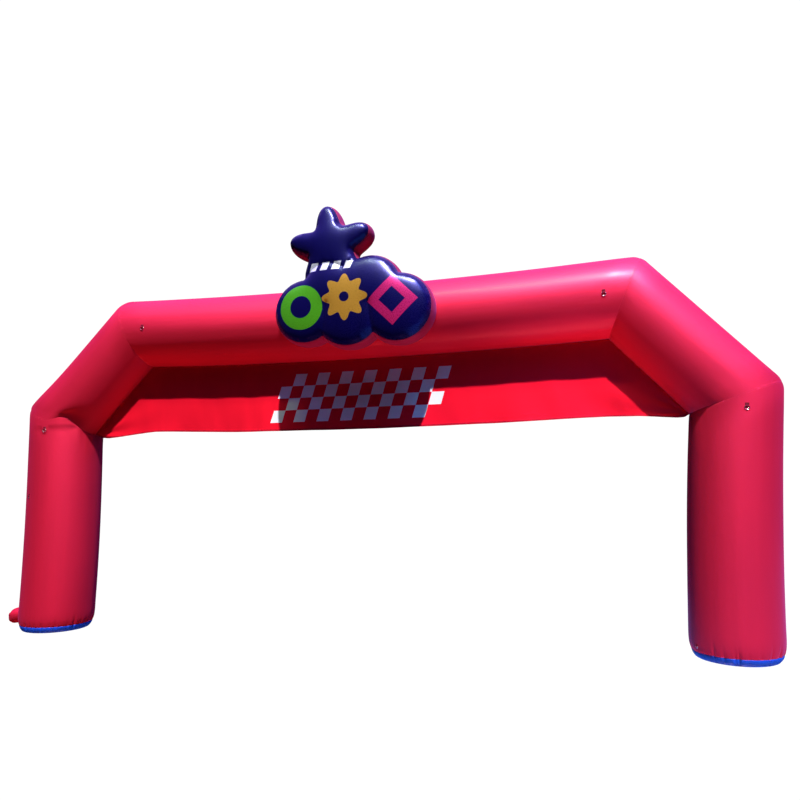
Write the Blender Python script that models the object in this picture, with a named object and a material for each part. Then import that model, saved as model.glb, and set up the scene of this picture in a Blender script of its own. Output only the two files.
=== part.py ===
"""Inflatable start arch.

Five mitred air tubes make the arch: two legs, two diagonals and a beam. Each leg stands on a blue floor.
A cloth banner hangs under the beam, a puffed star on a cloud is tied to the beam's front, guy rings hang
from sewn patches, and an air sleeve leaves the left leg.

Metres, +Z up, front towards -Y. The origin is on the ground under the middle of the bounding box.
"""

import math

import bmesh
import bpy
import numpy as np
from mathutils import Vector
from mathutils.geometry import delaunay_2d_cdt

for old in list(bpy.data.objects):
    bpy.data.objects.remove(old, do_unlink=True)

# ---------------------------------------------------------------- driving sizes
TUBE_R = 0.5
GAP = 0.0003  # between neighbouring pieces
AROUND = 36  # points round a tube

# Each side's tube axis: distance from the middle at foot, lower corner and upper corner, and how far the
# leg bows inwards half way up.
SIDES = {
    "left": {"sign": -1, "foot": 4.640, "low": (4.671, 2.988), "high": (3.436, 4.282), "bow": 0.032},
    "right": {"sign": 1, "foot": 4.437, "low": (4.645, 2.961), "high": (3.460, 4.283), "bow": 0.024},
}
BEAM_SAG = 0.072
STRAIGHT_END = 0.24  # length next to a corner over which an axis stays straight
CORNER_FILLET = 0.25  # radius round the outside of a mitre
SEAM_Z = 0.085  # where the leg cloth meets the blue floor cloth
FLOOR_ROUND_Z = 0.17  # height of the rounding at the foot
FLOOR_ROUND_R = 0.09  # how far the rounding draws in at the ground

# The arch's own middle stands off the bounding box's middle, because of the sleeve and the topper.
MIDDLE = Vector((0.155, 0.2, 0.0))

BANNER_THICK = 0.002
BANNER_CLEAR = 0.0015
# The banner's free lower edge, between its two corners: distance from the middle and height.
BANNER_EDGE = (
    (-4.03, 2.744), (-3.93, 2.736), (-3.13, 2.806), (-1.6, 2.758), (0.3, 2.746),
    (1.8, 2.763), (3.2, 2.797), (3.52, 2.790), (4.0, 2.754), (4.07, 2.758),
)
BANNER_WAVE = 0.012

SLEEVE_R = 0.098
SLEEVE_Z = 0.188

TOPPER_SEAM_Y = -0.75
TOPPER_PUFF = 0.16
TOPPER_BACK_Y = -0.47
TOPPER_BACK_PUFF = 0.07
TOPPER_SPACING = 0.125
STAR = {"x": -0.19, "z": 5.05, "outer": 0.56, "inner": 0.32, "lean": 0.10}
CLOUD_MIDDLE = (0.08, 4.30)
CLOUD_LOBES = ((-0.52, 4.22, 0.41), (0.05, 4.18, 0.44), (0.70, 4.19, 0.43), (0.34, 4.48, 0.40), (-0.2, 4.45, 0.35))
# Sewn channels that run up into the cloud from between its lower lobes.
CHANNELS = (((-0.245, 3.95), (-0.20, 4.27)), ((0.385, 3.95), (0.35, 4.25)))

# Where each guy ring sits: tube, height (or x on the beam), degrees from straight front, scale.
ANCHORS = {
    "beam_left": ("beam", -3.093, -2.0, 1.0),
    "beam_right": ("beam", 3.180, -4.3, 1.0),
    "leg_left_top": ("left_leg", 2.845, 5.0, 1.0),
    "leg_left_side": ("left_leg", 1.900, -26.0, 0.8),
    "leg_right_top": ("right_leg", 2.806, 0.6, 1.0),
    "leg_right_foot": ("right_leg", 0.132, -65.0, 0.6),
}
TAB_W, TAB_THICK, TAB_LAY = 0.040, 0.002, 0.038
RING_W, RING_DROP, WIRE_R = 0.048, 0.038, 0.003
LAYER_GAP = 0.0004

COLOURS = {
    "tube": (0.60, 0.006, 0.045, 1),
    "floor": (0.010, 0.045, 0.42, 1),
    "banner": (0.62, 0.005, 0.030, 1),
    "topper_front": (0.012, 0.008, 0.20, 1),
    "topper_back": (0.42, 0.01, 0.11, 1),
    "tab": (0.05, 0.004, 0.010, 1),
    "ring": (0.62, 0.62, 0.64, 1),
}

Y = Vector((0, 1, 0))


# ---------------------------------------------------------------- scene helpers
def collection(name):
    group = bpy.data.collections.new(name)
    bpy.context.scene.collection.children.link(group)
    return group


PARTS = collection("inflatable_arch")
CUTTERS = collection("cutters")


def add_mesh(name, points, faces, colour, smooth=True):
    """A closed mesh object, moved from the arch's own frame to the row's frame."""
    mesh = bpy.data.meshes.new(name)
    mesh.from_pydata([tuple(Vector(p) + MIDDLE) for p in points], [], faces)
    work = bmesh.new()
    work.from_mesh(mesh)
    bmesh.ops.recalc_face_normals(work, faces=work.faces)
    work.to_mesh(mesh)
    work.free()
    obj = bpy.data.objects.new(name, mesh)
    if colour is None:
        CUTTERS.objects.link(obj)
        obj.hide_render = True
        obj.display_type = "WIRE"
        return obj
    PARTS.objects.link(obj)
    material = bpy.data.materials.new(name)
    material.use_nodes = True
    shader = material.node_tree.nodes["Principled BSDF"]
    shader.inputs["Base Color"].default_value = COLOURS[colour]
    shader.inputs["Roughness"].default_value = 0.25 if colour == "ring" else 0.5
    shader.inputs["Metallic"].default_value = 1.0 if colour == "ring" else 0.0
    mesh.materials.append(material)
    for polygon in mesh.polygons:
        polygon.use_smooth = smooth and len(polygon.vertices) <= 4
    return obj


def loft(name, rings, colour):
    """Skins a list of equal closed rings and caps both ends."""
    count = len(rings[0])
    points = [p for ring in rings for p in ring]
    faces = []
    for i in range(len(rings) - 1):
        for j in range(count):
            k = (j + 1) % count
            faces.append((i * count + j, i * count + k, (i + 1) * count + k, (i + 1) * count + j))
    faces.append(tuple(range(count)))
    faces.append(tuple(range((len(rings) - 1) * count, len(rings) * count)))
    return add_mesh(name, points, faces, colour)


def cut(obj, cutter):
    """Takes the cutter out of the object, exactly."""
    step = obj.modifiers.new("cut", "BOOLEAN")
    step.operation, step.solver, step.object = "DIFFERENCE", "EXACT", cutter
    shaped = bpy.data.meshes.new_from_object(obj.evaluated_get(bpy.context.evaluated_depsgraph_get()))
    obj.modifiers.clear()
    obj.data = shaped


# ---------------------------------------------------------------- air tubes
class Tube:
    """A round tube on an axis that bows gently in the arch's plane, with a plane cutting each end."""

    def __init__(self, start, end, bow):
        self.start, self.end, self.bow = Vector(start), Vector(end), bow
        self.length = (self.end - self.start).length
        self.along = (self.end - self.start) / self.length
        self.out = Vector((-self.along.z, 0, self.along.x))
        self.planes = [self.along, self.along]
        self.rounding = [1.0, 1.0]

    def axis(self, s):
        """Point, tangent and outward normal of the axis at s metres from its start."""
        half = self.length / 2
        curve = self.bow / (half * half - STRAIGHT_END * STRAIGHT_END)
        slope = 2 * curve * (half - STRAIGHT_END)
        if s < STRAIGHT_END:
            off, lean = slope * s, slope
        elif s > self.length - STRAIGHT_END:
            off, lean = slope * (self.length - s), -slope
        else:
            off, lean = self.bow - curve * (s - half) ** 2, -2 * curve * (s - half)
        tangent = (self.along + self.out * lean).normalized()
        return self.start + self.along * s + self.out * off, tangent, Vector((-tangent.z, 0, tangent.x))

    def surface(self, s, angle, radius):
        point, _, out = self.axis(s)
        return point + (out * math.cos(angle) + Y * math.sin(angle)) * radius

    def plane_s(self, end, angle, radius, shift=0.0):
        """Where a line along the tube at this angle and radius meets an end plane moved along its normal."""
        base = self.length if end else 0.0
        corner = self.end if end else self.start
        point = self.surface(base, angle, radius)
        _, tangent, _ = self.axis(base)
        normal = self.planes[end]
        distance = (shift - (point - corner).dot(normal)) / tangent.dot(normal)
        return base + distance * tangent.dot(self.along)


def outside(side, key):
    data = SIDES[side]
    x, z = (data["foot"], 0.0) if key == "foot" else data[key]
    return (data["sign"] * x, 0.0, z)


tubes = {
    "left_leg": Tube(outside("left", "foot"), outside("left", "low"), -SIDES["left"]["bow"]),
    "left_diagonal": Tube(outside("left", "low"), outside("left", "high"), 0.0),
    "beam": Tube(outside("left", "high"), outside("right", "high"), -BEAM_SAG),
    "right_diagonal": Tube(outside("right", "high"), outside("right", "low"), 0.0),
    "right_leg": Tube(outside("right", "low"), outside("right", "foot"), -SIDES["right"]["bow"]),
}
order = list(tubes)
for first, second in zip(order[:-1], order[1:]):
    mitre = (tubes[first].axis(tubes[first].length)[1] + tubes[second].axis(0.0)[1]).normalized()
    tubes[first].planes[1] = tubes[second].planes[0] = mitre
# The left lower corner is blown out fuller than the others.
tubes["left_leg"].rounding[1] = tubes["left_diagonal"].rounding[0] = 0.3
tubes["left_leg"].planes[0] = Vector((0, 0, 1))
tubes["right_leg"].planes[1] = Vector((0, 0, -1))

FILLET_REACH = 0.11
FILLET_STEPS = (0.0, 0.03, 0.065, FILLET_REACH)
ANGLES = [2 * math.pi * i / AROUND for i in range(AROUND)]


def drawn_in(distance, angle):
    """How far a mitre's outside is drawn in, this far along the tube from the mitre."""
    reach = max(0.0, FILLET_REACH - distance)
    depth = CORNER_FILLET - math.sqrt(CORNER_FILLET**2 - reach**2)
    return depth * max(0.0, math.cos(angle)) ** 1.2


def mitre_ring(tube, end, distance, grow):
    ring = []
    for angle in ANGLES:
        radius = TUBE_R - drawn_in(distance, angle) * tube.rounding[end]
        inward = -1 if end else 1
        s = tube.plane_s(end, angle, radius, inward * (GAP / 2 - grow)) + inward * distance
        ring.append(tube.surface(s, angle, radius + grow))
    return ring


def foot_radius(height):
    """Tube radius at a height above the ground: the foot's edge is a quarter of an ellipse."""
    rise = max(0.0, 1 - height / FLOOR_ROUND_Z)
    return TUBE_R - FLOOR_ROUND_R * (1 - math.sqrt(max(0.0, 1 - rise * rise)))


def level_ring(tube, end, height, grow):
    """A level section of a leg, this high above the ground."""
    radius = foot_radius(height)
    inward = -1 if end else 1
    normal_up = inward * height
    return [
        tube.surface(tube.plane_s(end, angle, radius, normal_up), angle, radius + grow) for angle in ANGLES
    ]


def tube_rings(name, middle, grow=0.0):
    """All rings of a tube; legs start or end on the floor seam, other ends on mitres."""
    tube = tubes[name]
    foot_levels = (SEAM_Z + GAP / 2 - grow, SEAM_Z + 0.03, FLOOR_ROUND_Z)
    first = name == "left_leg"
    last = name == "right_leg"
    head = (
        [level_ring(tube, 0, z, grow) for z in foot_levels]
        if first
        else [mitre_ring(tube, 0, d, grow) for d in FILLET_STEPS]
    )
    tail = (
        [level_ring(tube, 1, z, grow) for z in reversed(foot_levels)]
        if last
        else [mitre_ring(tube, 1, d, grow) for d in reversed(FILLET_STEPS)]
    )
    body = []
    for k in range(1, middle):
        ring = []
        for angle in ANGLES:
            low = tube.plane_s(0, angle, TUBE_R) + (FLOOR_ROUND_Z if first else FILLET_REACH)
            high = tube.plane_s(1, angle, TUBE_R) - (FLOOR_ROUND_Z if last else FILLET_REACH)
            ring.append(tube.surface(low + (high - low) * k / middle, angle, TUBE_R + grow))
        body.append(ring)
    return head + body + tail


BODY_STEPS = {"left_leg": 5, "left_diagonal": 3, "beam": 8, "right_diagonal": 3, "right_leg": 5}
for tube_name, steps in BODY_STEPS.items():
    loft(tube_name, tube_rings(tube_name, steps), "tube")

for side, end in (("left", 0), ("right", 1)):
    heights = [FLOOR_ROUND_Z * h for h in (0.0, 0.04, 0.15, 0.35)] + [SEAM_Z - GAP / 2]
    loft(side + "_base", [level_ring(tubes[side + "_leg"], end, z, 0.0) for z in heights], "floor")


# ---------------------------------------------------------------- banner
def follow(table, x):
    """Smooth curve through a short table of points."""
    for (x0, z0), (x1, z1) in zip(table[:-1], table[1:]):
        if x <= x1 or x1 == table[-1][0]:
            t = min(1.0, max(0.0, (x - x0) / (x1 - x0)))
            return z0 + (z1 - z0) * (t * t * (3 - 2 * t) * 0.5 + t * 0.5)
    return table[-1][1]


def inner_corner(name, end):
    tube = tubes[name]
    return tube.surface(tube.plane_s(end, math.pi, TUBE_R), math.pi, TUBE_R)


def banner_stations():
    """Distances from the middle at which the banner's grid has a column on its lower edge."""
    table = [x for x, _ in BANNER_EDGE]
    even = [table[0] + (table[-1] - table[0]) * i / 40 for i in range(1, 40)]
    return sorted(table + [x for x in even if min(abs(x - t) for t in table) > 0.06])


def banner_points(rows, offset):
    """A grid from the beam's underside and the diagonals' inner lines down to the free lower edge."""
    beam = tubes["beam"]
    top_left, top_right = inner_corner("left_diagonal", 1), inner_corner("right_diagonal", 0)
    low_left, low_right = inner_corner("left_diagonal", 0), inner_corner("right_diagonal", 1)
    low_left += Vector((BANNER_CLEAR, 0, -BANNER_CLEAR)) * 1.5
    low_right += Vector((-BANNER_CLEAR, 0, -BANNER_CLEAR)) * 1.5
    lows = [low_left] + [Vector((x, 0, follow(BANNER_EDGE, x))) for x in banner_stations()] + [low_right]
    s_from, s_to = beam.plane_s(0, math.pi, TUBE_R), beam.plane_s(1, math.pi, TUBE_R)
    grid = []
    for low in lows:
        u = (low.x - low_left.x) / (low_right.x - low_left.x)
        top = beam.surface(s_from + (s_to - s_from) * u, math.pi, TUBE_R)
        top.z -= BANNER_CLEAR
        top.x = top_left.x + BANNER_CLEAR * 1.5 + (top_right.x - top_left.x - BANNER_CLEAR * 3) * u
        for j in range(rows + 1):
            v = j / rows
            point = top.lerp(low, v)
            ripple = math.sin(9.0 * u * math.pi + 1.3) + 0.5 * math.sin(23.0 * u * math.pi)
            edge = min(1.0, 12 * u, 12 * (1 - u))
            point.y = offset + BANNER_WAVE * ripple * v * v * edge
            grid.append(point)
    return grid


def sheet(name, rows, colour):
    """A thin closed sheet between two copies of the banner's grid."""
    front = banner_points(rows, -BANNER_THICK / 2)
    back = banner_points(rows, BANNER_THICK / 2)
    shift, step = len(front), rows + 1
    columns = shift // step - 1
    faces = []
    for i in range(columns):
        for j in range(rows):
            a = i * step + j
            quad = (a, a + step, a + step + 1, a + 1)
            faces += [quad, tuple(q + shift for q in reversed(quad))]
    rim = [j for j in range(rows + 1)] + [i * step + rows for i in range(1, columns + 1)]
    rim += [columns * step + j for j in range(rows - 1, -1, -1)] + [i * step for i in range(columns - 1, 0, -1)]
    for a, b in zip(rim, rim[1:] + rim[:1]):
        faces.append((a, b, b + shift, a + shift))
    return add_mesh(name, front + back, faces, colour)


sheet("banner", 5, "banner")


# ---------------------------------------------------------------- air sleeve
# Along the sleeve: how far out from the leg, width against SLEEVE_R, and how far it droops.
SLEEVE_PROFILE = (
    (-0.12, 0.94, 0.0), (0.0, 0.97, 0.0), (0.07, 1.07, 0.012), (0.15, 1.14, 0.03),
    (0.22, 1.09, 0.042), (0.262, 0.88, 0.048), (0.286, 0.57, 0.05), (0.296, 0.25, 0.05),
)


def sleeve_ring(reach, width, droop):
    """An upright ring of the sleeve, this far out from the leg."""
    x = -SIDES["left"]["foot"] - TUBE_R - reach
    turns = [2 * math.pi * i / 20 for i in range(20)]
    size = SLEEVE_R * width
    return [(x, size * math.cos(turn), SLEEVE_Z - droop + size * math.sin(turn)) for turn in turns]


sleeve = loft("air_sleeve", [sleeve_ring(*step) for step in SLEEVE_PROFILE], "tube")
leg_cutter = loft("leg_cutter", tube_rings("left_leg", BODY_STEPS["left_leg"], grow=2 * GAP), None)
cut(sleeve, leg_cutter)


# ---------------------------------------------------------------- topper
def star_reach(angle):
    """Distance from the star's middle to its outline, this far round from its top point."""
    return STAR["inner"] + (STAR["outer"] - STAR["inner"]) * ((1 + math.cos(5 * angle)) / 2) ** 1.1


def star_outline(count):
    points = []
    for i in range(count):
        angle = 2 * math.pi * i / count
        turn = math.pi / 2 + STAR["lean"] + angle
        reach = star_reach(angle)
        points.append((STAR["x"] + reach * math.cos(turn), STAR["z"] + reach * math.sin(turn)))
    return points


def cloud_reach(angle):
    """Distance from the cloud's middle to the outside of its lobes."""
    dx, dz = math.cos(angle), math.sin(angle)
    best = 0.0
    for x, z, radius in CLOUD_LOBES:
        ox, oz = x - CLOUD_MIDDLE[0], z - CLOUD_MIDDLE[1]
        along = ox * dx + oz * dz
        inside = radius * radius - (ox * ox + oz * oz - along * along)
        if inside > 0:
            best = max(best, along + math.sqrt(inside))
    return best


def in_cloud(x, z, margin=0.0):
    dx, dz = x - CLOUD_MIDDLE[0], z - CLOUD_MIDDLE[1]
    return math.hypot(dx, dz) < cloud_reach(math.atan2(dz, dx)) - margin


def in_star(x, z, margin=0.0):
    dx, dz = x - STAR["x"], z - STAR["z"]
    return math.hypot(dx, dz) < star_reach(math.atan2(dz, dx) - math.pi / 2 - STAR["lean"]) - margin


def rotate_to_gap(flags):
    """Index at which a run of kept points starts."""
    return next(i for i in range(len(flags)) if flags[i] and not flags[i - 1])


def inside_outline(outline, x, z):
    """Whether a point lies inside a closed outline, by counting the sides above it."""
    inside = False
    for (x0, z0), (x1, z1) in zip(outline, outline[1:] + outline[:1]):
        if (x0 > x) != (x1 > x) and z < z0 + (z1 - z0) * (x - x0) / (x1 - x0):
            inside = not inside
    return inside


def topper_plan(star_count, cloud_count, spacing):
    """Outline points, the groove where star meets cloud, and an even fill, triangulated."""
    star = star_outline(star_count)
    cloud = []
    for i in range(cloud_count):
        angle = 2 * math.pi * i / cloud_count
        reach = cloud_reach(angle)
        cloud.append((CLOUD_MIDDLE[0] + reach * math.cos(angle), CLOUD_MIDDLE[1] + reach * math.sin(angle)))
    clear = 0.012
    star_kept = [not in_cloud(x, z, -clear) for x, z in star]
    cloud_kept = [not in_star(x, z, -clear) for x, z in cloud]
    start = rotate_to_gap(star_kept)
    star_run = [star[(start + i) % star_count] for i in range(sum(star_kept))]
    start = rotate_to_gap(cloud_kept)
    cloud_run = [cloud[(start + i) % cloud_count] for i in range(sum(cloud_kept))]
    groove = [cloud[(start + i) % cloud_count] for i in range(sum(cloud_kept), cloud_count)]
    outline = star_run + cloud_run
    chains = [[g for g in groove if in_star(g[0], g[1], 0.03)]]
    for (x0, z0), (x1, z1) in CHANNELS:
        chains.append([(x0 + (x1 - x0) * k / 3, z0 + (z1 - z0) * k / 3) for k in range(4)])
    groove = [g for chain in chains for g in chain]

    fill = []
    low_x, high_x, low_z, high_z = -1.1, 1.3, 3.6, 5.8
    row = 0
    z = low_z
    while z < high_z:
        x = low_x + (spacing / 2 if row % 2 else 0.0)
        while x < high_x:
            inside = in_cloud(x, z, spacing * 0.45) or in_star(x, z, spacing * 0.45)
            near = min(math.hypot(x - gx, z - gz) for gx, gz in outline + groove)
            if inside and near > spacing * 0.5:
                fill.append((x, z))
            x += spacing
        z += spacing * 0.866
        row += 1

    points = [Vector(p) for p in outline + groove + fill]
    count = len(outline)
    edges = [(i, (i + 1) % count) for i in range(count)]
    at = count
    for chain in chains:
        edges += [(at + i, at + i + 1) for i in range(len(chain) - 1)]
        at += len(chain)
    plan = delaunay_2d_cdt(points, edges, [], 0, 1e-6, True)
    flat = [(p.x, p.y) for p in plan[0]]
    groove_ids = {i for i, olds in enumerate(plan[3]) if any(count <= o < count + len(groove) for o in olds)}
    kept = []
    for tri in plan[2]:
        x, z = (sum(flat[i][axis] for i in tri) / 3 for axis in (0, 1))
        if inside_outline(outline, x, z):
            kept.append(tuple(tri))
    return flat, kept, groove_ids


def rim_loop(triangles):
    """The outline's points in order, from the edges that only one triangle uses."""
    edges = {(t[i], t[(i + 1) % 3]) for t in triangles for i in range(3)}
    following = {a: b for a, b in edges if (b, a) not in edges}
    loop = [min(following)]
    while following[loop[-1]] != loop[0]:
        loop.append(following[loop[-1]])
    return loop


def puff(flat, triangles, rim, fixed):
    """Height of an air-filled skin over its outline, 0 at the rim and 1 at the highest point."""
    count = len(flat)
    points = np.array(flat)
    stiff, load = np.zeros((count, count)), np.zeros(count)
    for tri in triangles:
        corner = points[list(tri)]
        e1, e2 = corner[1] - corner[0], corner[2] - corner[0]
        double = abs(e1[0] * e2[1] - e1[1] * e2[0])
        for i in range(3):
            load[tri[i]] += double / 6
            j, k = (i + 1) % 3, (i + 2) % 3
            a, b = corner[j] - corner[i], corner[k] - corner[i]
            weight = 0.5 * float(a @ b) / double
            stiff[tri[j], tri[k]] -= weight
            stiff[tri[k], tri[j]] -= weight
            stiff[tri[j], tri[j]] += weight
            stiff[tri[k], tri[k]] += weight

    def solve(held):
        free = [i for i in range(count) if i not in held]
        values = np.zeros(count)
        for i, value in held.items():
            values[i] = value
        right = load[free] - stiff[np.ix_(free, list(held))] @ values[list(held)]
        values[free] = np.linalg.solve(stiff[np.ix_(free, free)], right)
        return values

    held = {i: 0.0 for i in rim}
    loose = solve(held)
    if fixed:
        held.update({i: 0.35 * loose[i] for i in fixed if i not in held})
        loose = solve(held)
    return (np.maximum(loose, 0.0) / loose.max()) ** 0.42


plan_points, plan_faces, plan_groove = topper_plan(60, 72, TOPPER_SPACING)
if sum(
    (plan_points[b][0] - plan_points[a][0]) * (plan_points[c][1] - plan_points[a][1])
    - (plan_points[b][1] - plan_points[a][1]) * (plan_points[c][0] - plan_points[a][0])
    for a, b, c in plan_faces
) < 0:
    plan_faces = [tuple(reversed(f)) for f in plan_faces]
plan_rim = rim_loop(plan_faces)
front_rise = puff(plan_points, plan_faces, plan_rim, plan_groove)
back_rise = puff(plan_points, plan_faces, plan_rim, set())


def rim_normals():
    """Outward direction in the plan at each rim point."""
    normals = {}
    for i, here in enumerate(plan_rim):
        before, after = plan_points[plan_rim[i - 1]], plan_points[plan_rim[(i + 1) % len(plan_rim)]]
        dx, dz = after[0] - before[0], after[1] - before[1]
        size = math.hypot(dx, dz)
        normals[here] = (dz / size, -dx / size)
    return normals


def puffed_solid(name, front_y, front_height, walls, back_y, back_height, colour):
    """Two triangulated skins on the plan, joined round the rim through the given wall steps."""
    normals = rim_normals()
    points = [(x, front_y - h, z) for (x, z), h in zip(plan_points, front_height)]
    faces = list(plan_faces)
    previous = {i: i for i in plan_rim}
    for y, out in walls:
        current = {}
        for i in plan_rim:
            x, z = plan_points[i]
            current[i] = len(points)
            points.append((x + normals[i][0] * out, y, z + normals[i][1] * out))
        for a, b in zip(plan_rim, plan_rim[1:] + plan_rim[:1]):
            faces.append((previous[b], previous[a], current[a], current[b]))
        previous = current
    back = {}
    for i, (x, z) in enumerate(plan_points):
        if i in previous and not walls:
            back[i] = len(points)
            points.append((x, back_y, z))
        elif i in previous:
            back[i] = previous[i]
        else:
            back[i] = len(points)
            points.append((x, back_y + back_height[i], z))
    if not walls:
        for a, b in zip(plan_rim, plan_rim[1:] + plan_rim[:1]):
            faces.append((b, a, back[a], back[b]))
    faces += [tuple(back[i] for i in reversed(f)) for f in plan_faces]
    return add_mesh(name, points, faces, colour)


flat_face = [0.0] * len(plan_points)
SKIN = 0.012  # depth of the front skin's own edge
puffed_solid(
    "topper_front", TOPPER_SEAM_Y - SKIN, front_rise * TOPPER_PUFF, [], TOPPER_SEAM_Y - GAP, flat_face, "topper_front"
)
depth = TOPPER_BACK_Y - TOPPER_SEAM_Y
WALL_BULGE = ((0.0, 0.0), (0.18, 0.022), (0.5, 0.034), (0.82, 0.022), (1.0, 0.0))
topper_back = puffed_solid(
    "topper_back",
    TOPPER_SEAM_Y,
    flat_face,
    [(TOPPER_SEAM_Y + depth * t, out) for t, out in WALL_BULGE[1:]],
    TOPPER_BACK_Y,
    back_rise * TOPPER_BACK_PUFF,
    "topper_back",
)
beam_cutter = loft("beam_cutter", tube_rings("beam", BODY_STEPS["beam"], grow=2 * GAP), None)
cut(topper_back, beam_cutter)


# ---------------------------------------------------------------- guy rings
class Anchor:
    """A place on a tube's skin: across it, up it and off it, in metres."""

    def __init__(self, tube_name, place, turn, scale):
        self.tube, self.scale = tubes[tube_name], scale
        self.rising = {"left_leg": 1, "right_leg": -1, "beam": 0}[tube_name]
        if self.rising:
            self.s = abs(place - self.tube.start.z) / abs(self.tube.along.z)
            self.angle = -math.pi / 2 - self.rising * math.radians(turn)
        else:
            self.s = place - self.tube.start.x
            self.angle = -math.pi / 2 + math.radians(turn)

    def at(self, across, up, off):
        across, up, off = across * self.scale, up * self.scale, off * self.scale + 2 * GAP
        if self.rising:
            s, angle = self.s + self.rising * up, self.angle - self.rising * across / TUBE_R
        else:
            s, angle = self.s + across, self.angle + up / TUBE_R
        return self.tube.surface(s, angle, TUBE_R + off)


BAR_OFF = TAB_THICK + WIRE_R + 3 * LAYER_GAP
BAR_UP = 0.0


def tab(anchor, name):
    """A strip of webbing folded round the ring's bar, its two layers lying on the tube."""
    near = TAB_THICK / 2
    far = near + TAB_THICK + LAYER_GAP
    turn = WIRE_R + 2 * LAYER_GAP + TAB_THICK / 2
    flat = [BAR_UP + 0.010 + (TAB_LAY - 0.010) * k / 2 for k in (2, 1, 0)]
    path = [(up, near) for up in flat]
    for i in range(8):
        swing = math.radians(-90 - 215 * i / 7)
        path.append((BAR_UP + turn * math.cos(swing), BAR_OFF + turn * math.sin(swing)))
    path += [(up, far) for up in reversed(flat)]
    lefts, rights = [], []
    for i, (up, off) in enumerate(path):
        before, after = path[max(0, i - 1)], path[min(len(path) - 1, i + 1)]
        du, do = after[0] - before[0], after[1] - before[1]
        size = math.hypot(du, do)
        lefts.append((up - do / size * TAB_THICK / 2, off + du / size * TAB_THICK / 2))
        rights.append((up + do / size * TAB_THICK / 2, off - du / size * TAB_THICK / 2))
    section = lefts + rights[::-1]
    rings = [[anchor.at(across, up, off) for up, off in section] for across in (-TAB_W / 2, 0.0, TAB_W / 2)]
    return loft(name, rings, "tab")


def ring(anchor, name):
    """A D-shaped wire ring: a straight bar in the tab and a bow that hangs below it."""
    half = RING_W / 2
    side = RING_DROP - half
    path = [(-half, -side * 0.35), (-half, -side)]
    path += [(-half * math.cos(math.pi * i / 8), -side - half * math.sin(math.pi * i / 8)) for i in range(1, 8)]
    path += [(half, -side), (half, -side * 0.35), (half * 0.88, 0.0), (-half * 0.88, 0.0)]
    count, around = len(path), 8
    points, faces = [], []
    for i, (across, up) in enumerate(path):
        before, after = path[i - 1], path[(i + 1) % count]
        da, du = after[0] - before[0], after[1] - before[1]
        size = math.hypot(da, du)
        for j in range(around):
            angle = 2 * math.pi * j / around
            width, rise = WIRE_R * math.cos(angle), WIRE_R * math.sin(angle)
            points.append(
                anchor.at(across + du / size * width, BAR_UP + up - da / size * width, BAR_OFF + rise)
            )
    for i in range(count):
        for j in range(around):
            a, b = i * around + j, i * around + (j + 1) % around
            c, d = ((i + 1) % count) * around + (j + 1) % around, ((i + 1) % count) * around + j
            faces.append((a, b, c, d))
    return add_mesh(name, points, faces, "ring")


for anchor_name, place in ANCHORS.items():
    spot = Anchor(*place)
    tab(spot, "tab_" + anchor_name)
    ring(spot, "ring_" + anchor_name)
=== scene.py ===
"""Looks of the inflatable start arch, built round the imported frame."""

import math
from functools import partialmethod

import bpy
import numpy as np
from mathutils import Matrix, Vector
from mathutils.geometry import delaunay_2d_cdt


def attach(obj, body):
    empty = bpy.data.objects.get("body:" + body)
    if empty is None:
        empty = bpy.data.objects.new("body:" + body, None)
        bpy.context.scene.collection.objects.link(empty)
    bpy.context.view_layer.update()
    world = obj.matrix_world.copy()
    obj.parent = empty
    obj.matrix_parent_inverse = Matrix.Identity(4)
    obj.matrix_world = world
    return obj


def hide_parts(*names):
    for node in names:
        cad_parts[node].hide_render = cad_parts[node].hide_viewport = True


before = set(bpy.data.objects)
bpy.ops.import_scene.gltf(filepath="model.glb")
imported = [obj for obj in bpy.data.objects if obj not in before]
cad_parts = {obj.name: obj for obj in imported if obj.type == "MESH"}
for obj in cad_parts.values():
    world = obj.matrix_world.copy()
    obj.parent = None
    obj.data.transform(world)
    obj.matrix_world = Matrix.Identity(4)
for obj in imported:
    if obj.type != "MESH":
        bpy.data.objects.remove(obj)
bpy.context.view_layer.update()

TURN = 2 * math.pi

# ---------------- sizes, as in the frame
MIDDLE = np.array((0.155, 0.2, 0.0))  # the arch's own middle in the row's frame
GAP = 0.0003  # between touching solids
TUBE_R = 0.5
SIDES = {  # x of the foot, and x and z of the corners of the tubes' axes
    "left": {"sign": -1, "foot": 4.640, "low": (4.671, 2.988), "high": (3.436, 4.282), "bow": 0.032},
    "right": {"sign": 1, "foot": 4.437, "low": (4.645, 2.961), "high": (3.460, 4.283), "bow": 0.024},
}
BEAM_SAG = 0.072
STRAIGHT_END = 0.24  # a bowed axis is straight this far from its ends
CORNER_FILLET = 0.25  # radius of a mitre's fillet, on its outer side
FILLET_REACH = 0.11
SEAM_Z = 0.085  # height of a leg's floor seam
FLOOR_ROUND_Z = 0.17
FLOOR_ROUND_R = 0.09
BANNER_EDGE = (  # the free edge, as x and z
    (-4.03, 2.744), (-3.93, 2.736), (-3.13, 2.806), (-1.6, 2.758), (0.3, 2.746),
    (1.8, 2.763), (3.2, 2.797), (3.52, 2.790), (4.0, 2.754), (4.07, 2.758),
)
SLEEVE_R = 0.098
SLEEVE_Z = 0.188
SLEEVE_PROFILE = (  # distance from the leg, share of the radius, and drop
    (-0.12, 0.94, 0.0), (0.0, 0.97, 0.0), (0.07, 1.07, 0.012), (0.15, 1.14, 0.03),
    (0.22, 1.09, 0.042), (0.262, 0.88, 0.048), (0.286, 0.57, 0.05), (0.296, 0.25, 0.05),
)
TOPPER_SEAM_Y = -0.75  # where the topper's front is sewn to its gusset
TOPPER_RIM = 0.012
TOPPER_PUFF = 0.16
TOPPER_BACK_Y = -0.47
TOPPER_BACK_PUFF = 0.07
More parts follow.
